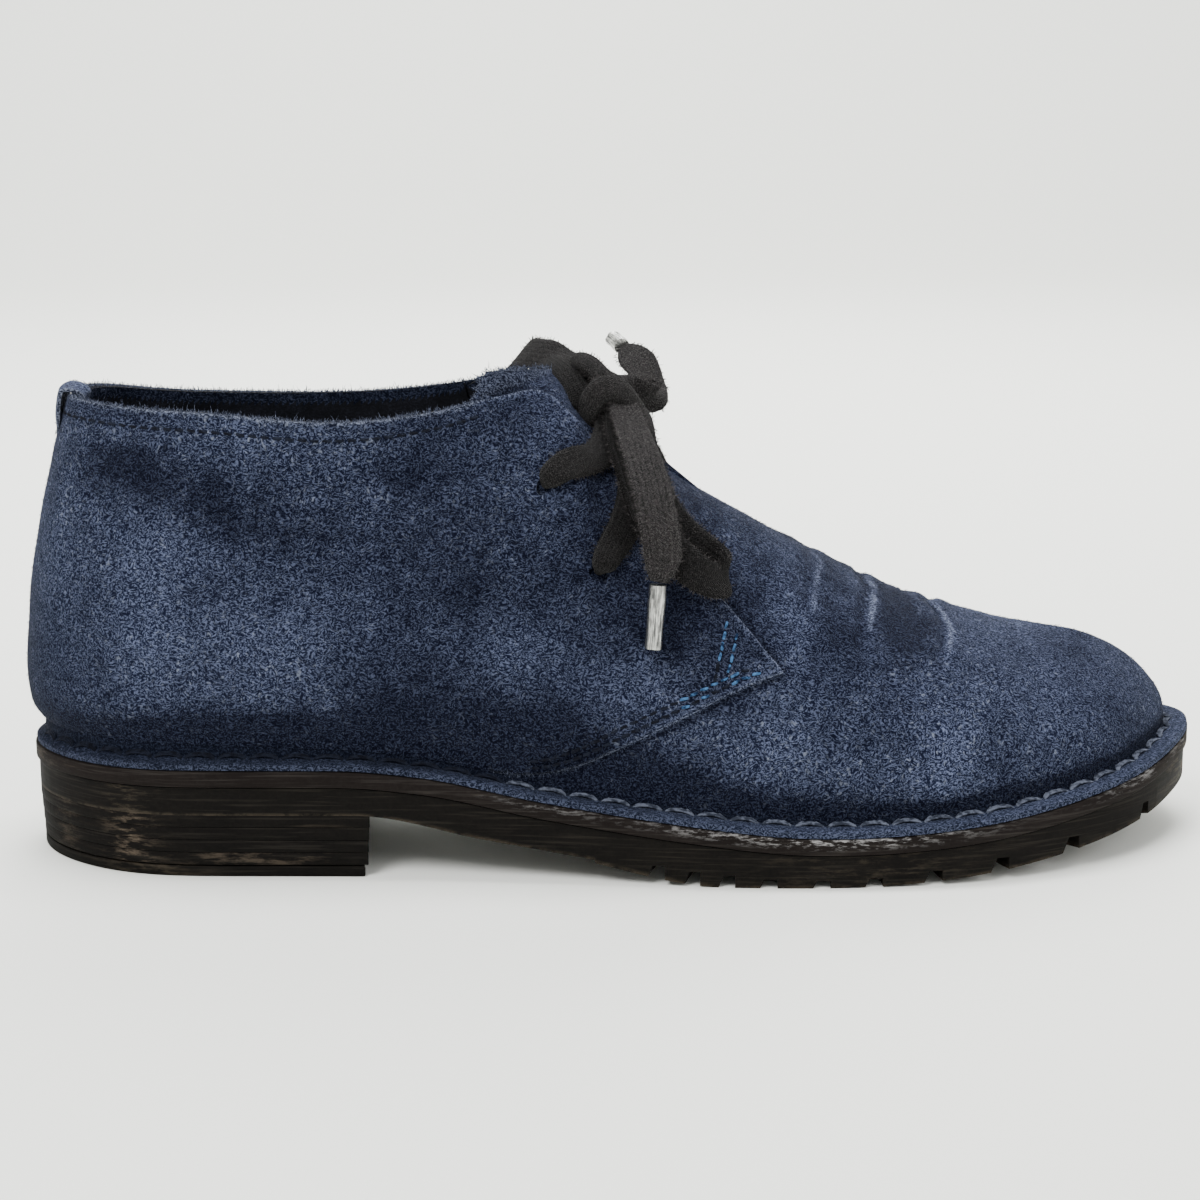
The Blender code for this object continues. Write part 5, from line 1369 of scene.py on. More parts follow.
def build_upper():
    """The upper in one piece with its quarters, and with the tongue that grows from the vamp."""
    flat, points, normals, faces, quarter, base, tongue, edges = upper_pattern()
    a, b = flat.T
    crease, crest = creasing(a, b)
    lifted = points + normals * (crease + swelling(a, b, points))[:, None]

    thick = OVERLAY_FOOT + (OVERLAY - OVERLAY_FOOT) * ease(b / 12.0)
    from_edge = np.min([distance_to(points, surface(*line.T)) for line in edges], axis=0)
    from_ridge = np.abs(a - HALF_TURN)
    at_collar = (b > TOP - 6) & (from_ridge > HALF_TURN - top_place(COLLAR_END_X) - 0.1)
    from_collar = np.where(at_collar, TOP - b, FAR)
    from_rim = np.where(b < -SKIRT + 3, b + SKIRT, FAR)
    near = np.minimum(from_edge, from_collar)
    soft = 0.30 * (1 - ease(near / 0.7))
    groove = 0.35 * hump(from_edge - 2.6, 0.55) * (a != HALF_TURN) * (b > 36)
    seam_sink = 0.4 * hump(from_edge - 2.4, 0.8) - 0.3 * hump(from_edge - 0.7, 0.6)
    seam_sink = seam_sink * ease((50 - b) / 10)
    collar_line = 0.08 * hump(from_collar - 5.0, 0.7)
    outer = lifted + normals * (thick - soft - groove - seam_sink - collar_line)[:, None]
    dip = 0.45 * hump(b + 3.4, 0.9) + 0.3 * (1 - ease(from_rim / 0.8))
    sunk = SUNK * ease((from_ridge - (HALF_TURN - top_place(SUNK_X))) / 6) * (b > 45)
    middle = lifted - normals * (dip + sunk)[:, None]
    low = lifted - normals * (FLANGE + sunk)[:, None]
    places, out, sources, kinds = layered(faces, [base | tongue, quarter], [low, middle, outer])

    corners = [sources[list(face), 0] for face in out]
    finishes = [SUEDE, SUEDE_EDGE, LINING, SHADED_SUEDE]
    # the fourth, dull, is the darker suede copy: painted shade on the flange, its cut rim and inside the
    # collar's top
    napped, cut, lined, dull = range(4)
    finish = []
    for (kind, layer), numbers in zip(kinds, corners):
        along, up = a[numbers].mean(), b[numbers].mean()
        if kind == "inner":
            finish.append(napped if up > TOP + 0.5 else dull if up > TOP - 3.4 else lined)
        elif kind == "cut":
            finish.append(dull if up < -1 else cut if layer == 1 or up > TOP + 0.2 else lined)
        else:
            # in the back slit the base layer's outer face takes the dark lining: painted shade under the
            # tab's fold
            in_slit = min(along, AROUND - along) < BACK_SLIT[0] + 2 and up > BACK_SLIT[1]
            finish.append(lined if layer == 0 and in_slit else dull if up < -0.6 else napped)
    on_quarter = np.zeros(len(points), bool)
    on_quarter[faces[quarter].ravel()] = True
    # painted shade: the suede darkened in a band along the foot of the upper, just above the flange
    rub_and_painted_light = rubs_and_painted_light(a, points) - 0.85 * hump(b - 0.5, 5.0)
    # painted highlight along the quarter's raised edge, and painted shadow cast by that edge on the vamp
    # beside it
    beside = np.where(on_quarter, 0.35 * hump(from_edge, 1.0), -0.45 * hump(from_edge, 1.6))
    rub_and_painted_light += beside * (b > 0)
    # on the flange, painted shade: darkest at the heel under the overhanging upper, paler towards the toe
    rub_and_painted_light = np.where(b < -3.9, 0.05 + 0.3 * ease((points[:, 0] + 60) / 60), np.clip(rub_and_painted_light, -0.9, 1))
    chance = np.array([noise.noise(Vector(p) * 0.8) for p in points])
    rough_edge = np.clip(1 - near / (0.75 + 0.5 * chance), 0, 1)
    rough_edge = rough_edge * np.where(from_collar < 2, 0.7, 0.35)
    flange_edge = np.clip(1 - from_rim / (0.9 + 0.6 * chance), 0, 1) * 0.35
    low_edges = np.maximum(flange_edge, np.where(b > TOP + 0.2, 0.15, 0.0))
    source, level = sources.T
    values = {
        "rub_and_painted_light": rub_and_painted_light[source],
        "raw_edge": np.where(level == 2, np.maximum(rough_edge, low_edges)[source], low_edges[source]),
        "crease": np.where(level > 0, crest[source], 0),
    }
    made = make("upper", places, out, finishes, finish, values)
    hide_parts("upper", "tongue")
    with_nap = [
        face for face, (kind, _), number in zip(out, kinds, finish)
        if kind == "outer" and number == napped
    ]
    return places, with_nap, values["rub_and_painted_light"]


# ---- stitches and loose fibres ----

NAP_FIBRES = 15000      # longer fibres of the nap, over each half of the upper
NAP_SPLIT_Z = 62        # between those halves
STITCH_PITCH = 8.0      # of the welt seam
WELT_SEAM = (9, -4.5)   # where it starts on the pattern: short of the heel's back, on the flange
# behind this x the welt thread is drawn dark, as painted shade at the heel
WELT_SHADE_END = -30.0   # x where its thread turns from dark to worn pale
COLLAR_SEAM = TOP - 5.2
BLUE_SEAM_START = 14.0  # x where the quarters' seam thread turns from dark to bare blue
BLUE_SHARE = 0.62       # of the stitches in front of there
# two short rows down the quarter by its foot, on the pattern
SHORT_ROWS = (
    ((186.3, 44.6), (184.6, 38.0), (181.9, 28.4)),
    ((188.4, 42.6), (187.0, 37.0), (184.6, 29.4)),
)


def frame_at(a, b):
    """Place, outward normal and upward direction of the base layer's outer face."""
    step = 0.5
    here = surface(a, b)
    around = surface(a + step, b) - surface(a - step, b)
    up = unit(here - surface(a, b - step))
    return here, unit(np.cross(around, up)), up


def stitch_shape(length, radius, bow, lift, strands=1, gap=0.0):
    """One stitch along X, made by hand: strands side by side, thin at their ends, risen between."""
    made = []
    for n in range(strands):
        bpy.ops.object.select_all(action="DESELECT")
        bpy.ops.mesh.primitive_cylinder_add(vertices=6, radius=radius, depth=length)
        strand = bpy.context.object
        bpy.ops.object.mode_set(mode="EDIT")
        cross_cuts((0.08, 0.25, 0.5, 0.75, 0.92), length)
        bpy.ops.object.mode_set(mode="OBJECT")
        side = (n - (strands - 1) / 2) * gap
        for vertex in strand.data.vertices:
            along = vertex.co.z / length * 2
            rise = 1 - along * along
            thick = 0.45 + 0.55 * math.sqrt(max(0.0, 1 - abs(along)**3))
            twist = 0.2 * radius * math.sin(along * 7 + n * 2)
            aside = bow * rise + side * (0.45 + 0.55 * rise)
            x, y, z = vertex.co
            vertex.co = z, x * thick + aside + twist, y * thick + lift * rise
        made.append(strand)
    shape = joined_up(made)
    points = np.array([vertex.co for vertex in shape.data.vertices])
    faces = [tuple(face.vertices) for face in shape.data.polygons]
    bpy.data.objects.remove(shape, do_unlink=True)
    return points, faces


def seam_places(line, pitch, off, wobble):
    """Frames of a row of stitches along a pattern line, each at a height off the base layer.

    wobble is how unevenly they are turned, in radians.
    """
    dense = resampled(np.asarray(line, float), 0.6)
    track = surface(dense[:, 0], dense[:, 1])
    run, near = run_of(track), 0.4
    at = np.arange(pitch / 2, run[-1] - pitch / 4, pitch)
    a, b = (np.interp(at, run, dense[:, i]) for i in (0, 1))
    here, out, _ = frame_at(a, b)
    along = read_at(at + near, run, track) - read_at(at - near, run, track)
    along = unit(along - out * np.sum(along * out, axis=1, keepdims=True))
    across = np.cross(out, along)
    chance = np.random.default_rng(5)
    places = []
    for n in range(len(at)):
        turn = chance.normal(0, wobble)
        x_way = along[n] * math.cos(turn) + across[n] * math.sin(turn)
        y_way = np.cross(out[n], x_way)
        size = 1 + chance.normal(0, wobble * 0.6)
        spot = here[n] + out[n] * off
        places.append(np.column_stack([x_way * size, y_way * size, out[n] * size, spot]))
    return places


def build_stitches():
    """The welt seam round the flange, and the double rows of the quarters' seams."""
    welt = stitch_shape(7.2, 0.26, 1.5, 0.4, 4, 0.55)
    start, up = WELT_SEAM
    places = seam_places([(start, up), (AROUND - start, up)], STITCH_PITCH, -0.1, 0.03)
    ahead = [place for place in places if place[0, 3] > WELT_SHADE_END]
    behind = [place for place in places if place[0, 3] <= WELT_SHADE_END]
    joined_copies("welt_stitches", welt, ahead, WELT_THREAD)
    # the stitches at the heel take the dark thread: painted shade under the overhanging upper
    joined_copies("welt_stitches_heel", welt, behind, DARK_THREAD)

    small = stitch_shape(2.2, 0.40, 0.0, 0.22)
    pale, dark = [], []
    for medial in (False, True):
        flip = mirrored if medial else np.array
        border = quarter_border(medial)
        corner = np.argmax(border[:, 0])
        seam = border[:corner + 1]
        for inset, short in ((1.7, 3), (3.1, 4)):
            row = flip(shifted(seam, inset)[6:len(seam) - short])
            pale += seam_places(row, 2.7, OVERLAY - 0.2, 0.14)
        for row in SHORT_ROWS:
            pale += seam_places(flip(np.array(row)), 2.6, OVERLAY - 0.05, 0.1)
        row = [(BACK_SLIT[0] + 3, COLLAR_SEAM), (top_place(COLLAR_END_X) - 2, COLLAR_SEAM)]
        dark += seam_places(flip(np.array(row)), 3.0, OVERLAY - 0.2, 0.04)
    chance = np.random.default_rng(8)
    bare = [place[0, 3] >= BLUE_SEAM_START and chance.uniform() < BLUE_SHARE for place in pale]
    dark += [place for place, shown in zip(pale, bare) if not shown]
    pale = [place for place, shown in zip(pale, bare) if shown]
    joined_copies("seam_stitches", small, pale, SEAM_THREAD)
    joined_copies("collar_stitches", small, dark, DARK_THREAD)


def fibre_shape():
    """A loose fibre along X, one long: a thin closed needle with a bend in it."""
    ring = np.array([(0, math.cos(t), math.sin(t)) for t in np.arange(3) * 2 * math.pi / 3])
    points = np.vstack([ring, ring * (1, 0.8, 0.8) + (0.5, 0, 1.6), [(1.0, 0.0, 0.3)]])
    faces = [(0, 2, 1)]
    for j in range(3):
        k = (j + 1) % 3
        faces += [(j, k, 3 + k, 3 + j), (3 + j, 3 + k, 6)]
    return points, faces


def fibre_place(start, way, reach, thick, chance):
    """One fibre's frame, from where it roots, which way it points, its length and thickness."""
    way = way / np.linalg.norm(way)
    other = np.cross(way, chance.normal(0, 1, 3))
    other /= np.linalg.norm(other)
    return np.column_stack([way * reach, other * thick, np.cross(way, other) * thick, start])


def fringe(line, outward, per_mm, length, thick, chance, wild=0.4, lie=0.25):
    """Frames of loose fibres along an edge: line's points and the way each part of it faces."""
    run = run_of(line)
    at = np.sort(chance.uniform(0, run[-1], int(run[-1] * per_mm)))
    places = []
    for spot, way in zip(read_at(at, run, line), unit(read_at(at, run, outward))):
        reach = length * chance.uniform(0.4, 1.0) * (2.0 if chance.uniform() < 0.04 else 1.0)
        start = spot - way * 0.3 + chance.normal(0, lie, 3)
        places.append(fibre_place(start, way + chance.normal(0, wild, 3), reach, thick, chance))
    return places


def surface_nap(points, faces, count, chance):
    """Frames of the nap's longer fibres, lying mostly lengthwise and down, and the point each is at."""
    corners = points[np.array(faces)]
    normal = np.cross(corners[:, 1] - corners[:, 0], corners[:, 2] - corners[:, 0])
    area = np.linalg.norm(normal, axis=1)
    normal /= area[:, None]
    picked = chance.choice(len(faces), count, p=area / area.sum())
    shares = chance.dirichlet((1, 1, 1), count)
    spots = np.einsum("ij,ijk->ik", shares, corners[picked])
    places = []
    for spot, out in zip(spots, normal[picked]):
        lay = np.array([1.0, 0.0, -0.25 if spot[0] < 30 else -0.7]) + chance.normal(0, 0.9, 3)
        lay -= out * (lay @ out)
        lay /= np.linalg.norm(lay)
        lift = chance.uniform(0.1, 0.75)
        reach = chance.uniform(0.6, 1.3)
        places.append(fibre_place(spot - out * 0.1, lay + out * lift, reach, 0.055, chance))
    return places, np.array(faces)[picked, 0]


def build_fringes(outer):
    """Fuzz along the cut edges of the quarters, the collar and the flange, and nap all over.

    outer is the finished upper's points, its napped faces and each point's share of rubbed nap and
    painted light and shade.
    """
    chance = np.random.default_rng(11)
    shape = fibre_shape()
    places, rubbed = [], []
    for medial in (False, True):
        flip = mirrored if medial else np.array
        border = flip(quarter_border(medial))
        here, out, _ = frame_at(border[:, 0], border[:, 1])
        beyond = unit(np.cross(np.gradient(here, axis=0), out) * (-1 if medial else 1))
        for depth in (0.35, 0.9):
            places += fringe(here + out * (OVERLAY * depth), beyond + out * 0.4, 3.0, 0.9, 0.075, chance)
        rubbed += [0.15] * (len(places) - len(rubbed))
        ends = np.array([(BACK_SLIT[0] + 1, TOP), (top_place(COLLAR_END_X), TOP)])
        collar_line = resampled(flip(ends), 1.0)
        here, out, up = frame_at(collar_line[:, 0], collar_line[:, 1])
        for off, lean in ((-1.3, -0.5), (-0.5, -0.2), (0.3, 0.2), (OVERLAY * 0.8, 0.7)):
            places += fringe(here + out * off, up + out * lean, 4.6, 1.35, 0.085, chance, 0.55)
        rubbed += [0.85] * (len(places) - len(rubbed))
        top_edge = tongue_border(medial)
        top_edge = resampled(np.vstack([top_edge[-2:], top_edge[:1]]), 1.0)
        here, out, up = frame_at(*flip(top_edge).T)
        for off in (-1.2, -0.4):
            places += fringe(here + out * off, up, 5.0, 1.5, 0.085, chance, 0.6)
        rubbed += [0.7] * (len(places) - len(rubbed))
    rim = resampled(np.array([(2.0, -SKIRT), (AROUND - 2.0, -SKIRT)]), 1.0)
    here, out, up = frame_at(rim[:, 0], rim[:, 1] + 0.3)
    places += fringe(here - out * 0.6, out * 0.4 - up, 1.6, 0.6, 0.06, chance)
    rubbed += [0.0] * (len(places) - len(rubbed))
    rubbed = np.repeat(rubbed, len(shape[0]))
    values = {"rub_and_painted_light": rubbed, "raw_edge": rubbed * 0.7}
    joined_copies("suede_fuzz", shape, places, SUEDE_EDGE, values, 80)

    points, faces, rub_and_painted_light = outer
    low = points[np.array(faces)].mean(1)[:, 2] < NAP_SPLIT_Z
    for name, kept in (("suede_nap_low", low), ("suede_nap_high", ~low)):
        some = [face for face, keep in zip(faces, kept) if keep]
        places, roots = surface_nap(points, some, NAP_FIBRES, chance)
        values = {"rub_and_painted_light": np.repeat(rub_and_painted_light[roots], len(shape[0]))}
        joined_copies(name, shape, places, NAP_FIBRE, values, 80)


# ---- lace ----

def band_run(rows, step=1.0):
    """Centreline, facing, across and width along a band's table of rows."""
    rows = np.array(rows)
    run = run_of(rows[:, :3])
    at = np.linspace(0, run[-1], max(3, round(run[-1] / step) + 1))
    line = np.stack([spline(run, rows[:, i], at) for i in range(3)], -1)
    facing = np.stack([glide(run, rows[:, i], at) for i in range(3, 6)], -1)
    width = glide(run, rows[:, 6], at)
    along = unit(np.gradient(line, axis=0))
    facing = unit(facing - along * np.sum(facing * along, axis=1, keepdims=True))
    return line, facing, np.cross(along, facing), width


def ribbed_section(ribs=6, thickness=1.3, depth=0.04):
    """Cross-section of the flat lace: (across, out) for a width of 1, ribbed on both faces."""
    per_rib, half = 3, 0.47
    share = np.linspace(-half, half, ribs * per_rib + 1)
    crown = 1 - (share / 0.5)**4 * 0.55
    rib = np.abs(np.sin(math.pi * ribs * (share + half) / (2 * half)))
    top = thickness / 2 * crown - depth * (1 - rib)
    upper_face = np.column_stack([share, top])
    lower_face = np.column_stack([share[::-1], -top[::-1]])
    return np.vstack([upper_face, [(0.5, 0.0)], lower_face, [(-0.5, 0.0)]])


RUN_WIDTH = 9.5        # width that a band's finish is laid out for


def band(line, facing, across, width, section, curl=0.0):
    """Points, faces and run in metres of a band along a centreline; curl bows it across."""
    size, count = len(section), len(line)
    share = section[:, 0]
    bow = curl * (1 - (share / 0.5)**2)
    points = line[:, None] + across[:, None] * share[None, :, None] * width[:, None, None]
    thin = np.clip(width / 8.0, 0.7, 1.0)[:, None, None]
    points = points + facing[:, None] * (section[:, 1] + bow)[None, :, None] * (2 - thin)
    along, over = run_of(line)[:, None] * MM, (share * RUN_WIDTH * MM)[None, :]
    uv = np.stack(np.broadcast_arrays(along, over), -1).reshape(-1, 2)
    faces = []
    for i in range(count - 1):
        for j in range(size):
            k = (j + 1) % size
            faces.append((i * size + j, i * size + k, (i + 1) * size + k, (i + 1) * size + j))
    faces.append(tuple(range(size))[::-1])
    faces.append(tuple(range((count - 1) * size, count * size)))
    return points.reshape(-1, 3), faces, uv


def lace_band(name, rows, step, section, curl, lit_share):
    """A length of lace from its rows: the piece and its run."""
    run = band_run(rows, step)
    points, faces, uv = band(*run, section, curl)
    shown = {"lit_share": np.full(len(points), lit_share)}
    piece = make(name, points, faces, [COTTON], values=shown, uv=uv, sharp=60)
    return piece, run


def length_of(line):
    return float(np.linalg.norm(np.diff(line, axis=0), axis=1).sum())


# inside the knot, between a loop's two ends and on to the lace's end
KNOT_NEAR = ((0.6, -4.0, 117.0, 0.4, -0.5, 0.8, 5.0),)
KNOT_FAR = ((-1.6, 1.0, 118.6, 0.2, -0.4, 0.9, 5.0),)
# the strand that wraps the bow's middle: up at the left, over the front and down behind at the right
KNOT_WRAP = (
    (-5.6, -2.0, 108.4, -0.2, -0.2, -0.95, 5.0),
    (-8.0, -6.6, 107.4, -0.5, -0.75, -0.4, 5.2),
    (-7.7, -10.4, 110.4, -0.6, -0.8, 0.0, 5.8),
    (-6.9, -12.4, 113.8, -0.45, -0.9, 0.1, 6.2),
    (-5.2, -13.4, 117.0, -0.2, -0.93, 0.3, 6.8),
    (-2.6, -13.8, 118.6, 0.0, -0.9, 0.4, 7.0),
    (0.2, -13.2, 118.0, 0.2, -0.88, 0.42, 6.6),
    (2.8, -11.6, 115.8, 0.5, -0.78, 0.4, 6.0),
    (5.0, -8.4, 113.0, 0.85, -0.45, 0.3, 5.6),
    (6.0, -3.0, 111.2, 0.95, 0.2, 0.0, 5.4),
)
# a strand in the knot's shade, over the tongue and in under the wrap at its left
KNOT_UNDER = (
    (-17.0, 3.6, 122.6, -0.1, -0.75, 0.6, 6.5),
    (-14.4, -2.2, 121.4, -0.1, -0.82, 0.5, 7.4),
    (-11.4, -6.8, 118.4, -0.1, -0.85, 0.45, 7.6),
    (-8.6, -9.4, 114.8, -0.1, -0.85, 0.45, 7.2),
    (-5.6, -9.6, 112.4, 0.0, -0.85, 0.45, 6.0),
)
# the far strand's short fold, over the far loop and in under the wrap
KNOT_TURN = (
    (-9.4, 1.4, 121.4, -0.75, 0.1, -0.6, 4.4),
    (-9.8, -1.8, 123.6, -0.8, -0.5, 0.35, 4.8),
    (-8.0, -4.6, 124.0, -0.1, -0.75, 0.65, 5.2),
    (-5.6, -6.8, 122.6, 0.2, -0.8, 0.55, 5.4),
    (-3.2, -8.4, 120.2, 0.3, -0.8, 0.5, 5.4),
    (-0.6, -8.6, 117.4, 0.3, -0.8, 0.5, 5.2),
)


def out_of_eyelet(rows, x, z, medial):
    """A strand's rows led out of its eyelet: up through the hole, then bent over along its way."""
    a, b = pattern_place(x, z, medial)
    here, out, _ = frame_at(AROUND - a if medial else a, b)
    first = np.array(rows[0])
    way = first[:3] - here - out * (OVERLAY + 1.2)
    way /= np.linalg.norm(way)
    inside_hole = (*(here + out * 0.1 + way * 0.5), *(-way), 2.6)
    at_rim = (*(here + out * (OVERLAY + 0.2) + way * 0.8), *(-way * 0.8 + out * 0.4), 3.8)
    broadened = [(*row[:6], max(row[6], width)) for row, width in zip(rows, (5.8, 7.4))]
    return (inside_hole, at_rim, *broadened, *rows[2:])


def band_fuzz(name, runs, chance, lit_share, per_mm=16.0):
    """Loose cotton fibres all round the bands whose runs are given."""
    places = []
    for line, facing, across, width in runs:
        count = int(length_of(line) * per_mm)
        for n in chance.integers(1, len(line) - 1, count):
            at_edge = chance.uniform() < 0.45
            share = chance.choice([-0.5, 0.5]) if at_edge else chance.uniform(-0.5, 0.5)
            side = chance.choice([-1.0, 1.0])
            away = across[n] * np.sign(share) if at_edge else facing[n] * side
            spot = line[n] + across[n] * share * width[n] + facing[n] * side * 0.5 * (not at_edge)
            spot = spot + (line[n + 1] - line[n]) * chance.uniform(0, 1)
            way = away + chance.normal(0, 0.55, 3)
            reach = chance.uniform(0.5, 1.6)
            places.append(fibre_place(spot - away * 0.15, way, reach, 0.085, chance))
    shape = fibre_shape()
    shown = {"lit_share": np.full(len(places) * len(shape[0]), lit_share)}
    piece = joined_copies(name, shape, places, COTTON_FIBRE, shown, 80)
    return piece


def build_cord(name, loop, through, end, replaced, lit_share):
    """One lace half: out and back in its loop, through the knot and on to its end.

    The last argument is its painted light and shade: how lit it is drawn at the loop's start, at the
    loop's end, and along the lace's end.
    """
    run = band_run(np.array([*loop, *through, *end]))
    line, section = run[0], ribbed_section()
    fuzz = band_fuzz(name + "_fuzz", [run], np.random.default_rng(len(name)), 0.7)
    points, faces, uv = band(*run, section)
    # painted light along the cord: dark in the loop's shade, lit along the lace's end
    shares = np.interp(np.linspace(0, 1, len(line)), (0.0, 0.55, 0.68), lit_share)
    shown = {"lit_share": np.repeat(shares, len(section))}
    made = make(name, points, faces, [COTTON], values=shown, uv=uv, sharp=60)
    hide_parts(*replaced)
    length_of(line) * MM
    return made


def build_aglet(name, ends):
    """Metal tip: a thin tube crimped along its length, with its open end outwards."""
    radius = AGLET_RADIUS
    start, end = (Vector(p) * MM for p in ends)
    length = (end - start).length
    bpy.ops.object.select_all(action="DESELECT")
    bpy.ops.mesh.primitive_cylinder_add(vertices=28, radius=radius * MM, depth=length)
    made = bpy.context.object
    made.name = made.data.name = name
    bpy.ops.object.mode_set(mode="EDIT")
    cross_cuts((0.12, 0.3, 0.5, 0.7, 0.88), length)
    pick_faces(made, lambda face: face.normal.z < -0.9)
    bpy.ops.mesh.inset(thickness=0.35 * MM)
    bpy.ops.mesh.extrude_region_move(TRANSFORM_OT_translate={"value": (0, 0, 1.6 * MM)})
    bpy.ops.object.mode_set(mode="OBJECT")
    floor = [face.index for face in made.data.polygons if face.select]
    made.data.uv_layers[0].name = "run"
    for loop, place in zip(made.data.loops, made.data.uv_layers["run"].data):
        x, y, z = made.data.vertices[loop.vertex_index].co
        place.uv = z, math.hypot(x - radius * MM, y) * (1 if y > 0 else -1)
    for vertex in made.data.vertices:
        x, y, z = vertex.co
        turn = math.atan2(y, x)
        crimp = 1 - 0.16 * math.exp(-(math.sin((turn - 1.1) / 2) / 0.16)**2)
        flat = 1 - 0.10 * abs(math.cos(turn)) * (0.5 - z / length)
        swell = 1 + 0.04 * math.sin(z / length * 9)
        vertex.co = (x * crimp * flat * swell, y * crimp * swell, z)
    turned = (start - end).to_track_quat("Z", "X").to_matrix().to_4x4()
    made.matrix_world = Matrix.Translation((start + end) / 2) @ turned
    bpy.ops.object.transform_apply(location=True, rotation=True, scale=True)
    bpy.ops.object.shade_smooth_by_angle(angle=math.radians(40))
    finished(made, AGLET_METAL, name)
    made.data.materials.append(COTTON_FIBRE)
    for index in floor:
        made.data.polygons[index].material_index = 1
    return made


def build_knot_core():
    """Lumpy egg of cotton that fills the knot."""
    bpy.ops.object.select_all(action="DESELECT")
    bpy.ops.mesh.primitive_uv_sphere_add(segments=24, ring_count=14, radius=1.0)
    core = bpy.context.object
    core.name = core.data.name = "knot_core"
    centre, half, turn = LACE_KNOT
    lean = Matrix.Rotation(math.radians(turn), 3, "Y")
    for vertex in core.data.vertices:
        lump = 1 + 0.10 * math.sin(vertex.co.x * 5 + 1) * math.cos(vertex.co.y * 4)
        place = lean @ Vector([c * h * 0.86 * lump for c, h in zip(vertex.co, half)])
        vertex.co = (place + Vector(centre)) * MM
    core.data.uv_layers[0].name = "run"
    for loop in core.data.uv_layers["run"].data:
        loop.uv = loop.uv * 0.03
    # painted shade: the knot's core is drawn nearly unlit
    carry(core.data, "lit_share", np.full(len(core.data.vertices), 0.05))
    bpy.ops.object.shade_smooth()
    finished(core, COTTON, "lace_knot")
    return core


def build_lace():
    """Aglets, knot, both halves of the lace, and what runs over the tongue under them."""
    near = build_aglet("aglet_near", AGLET_NEAR)
    far = build_aglet("aglet_far", AGLET_FAR)
    knot, knot_runs, bar_runs = [], [], []
    # the last value of each is its painted light, low for strands in the knot's shade
    for name, rows, lit_share in (
        ("knot_wrap", KNOT_WRAP, 0.5), ("knot_turn", KNOT_TURN, 0.4), ("knot_under", KNOT_UNDER, 0.1),
    ):
        piece, run = lace_band(name, rows, 0.6, ribbed_section(5, 1.7, 0.04), 0.35, lit_share)
        knot.append(piece)
        knot_runs.append(run)
    knot.append(build_knot_core())
    knot.append(band_fuzz("knot_fuzz", knot_runs, np.random.default_rng(3), 0.5))
    build_cord("lace_near", LACE_LOOP_NEAR, KNOT_NEAR, LACE_END_NEAR,
               ("lace_loop_near", "lace_end_near"), (0.08, 0.15, 0.95))
    build_cord("lace_far", LACE_LOOP_FAR, KNOT_FAR, LACE_END_FAR,
               ("lace_loop_far", "lace_end_far"), (0.45, 0.35, 0.75))
    (_, top_x, top_z), (_, low_x, low_z) = EYELETS
    top_bar = out_of_eyelet(LACE_TOP_BAR, top_x, top_z, False)
    top_bar = out_of_eyelet(top_bar[::-1], top_x, top_z, True)[::-1]
    # the last value of each is the bar's painted light
    for name, rows, node, lit_share in (
        ("lace_top_bar", top_bar, "lace_bars", 0.25),
        ("lace_crossing_near", out_of_eyelet(LACE_CROSSING_NEAR, low_x, low_z, False), "lace_bars", 0.12),
        ("lace_crossing_far", out_of_eyelet(LACE_CROSSING_FAR, low_x, low_z, True), "lace_bars", 0.25),
        ("lace_low_bar", LACE_LOW_BAR, "lace_low_bar", 0.25),
    ):
        piece, run = lace_band(name, rows, 0.8, ribbed_section(5, 1.3, 0.045), 0.3, lit_share)
        bar_runs.append([part[3:-3] for part in run])
        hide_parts(node)
    band_fuzz("lace_bars_fuzz", bar_runs, np.random.default_rng(4), 0.4, 10.0)


# ---- sole ----

# gaps between the lugs: x at the rim, lean towards the toe, length inwards, width at the top
LUG_GAPS = (
    (8.5, 0.25, 14, 3.2), (17.4, 0.25, 14, 2.8), (25.8, 0.2, 15, 3.0), (36, 0.15, 15, 3.4),
    (49, 0.1, 15, 3.4), (62, 0.0, 15, 3.4), (77, -0.15, 15, 3.4), (94, -0.35, 14, 3.4),
    (113, -0.6, 13, 3.4), (134.5, -1.4, 12, 2.6),
)
CHANNELS_X = (22, 42, 62, 82, 102)  # arrow-shaped channels across the middle of the tread
CUT_DEPTH = 4          # that the cutters reach below the tread
CUT_BEYOND = 6         # and beyond the rim
BORDER_STEP = 2.5      # between the points of a sole piece's border
HEEL_MIDDLE_X = -108


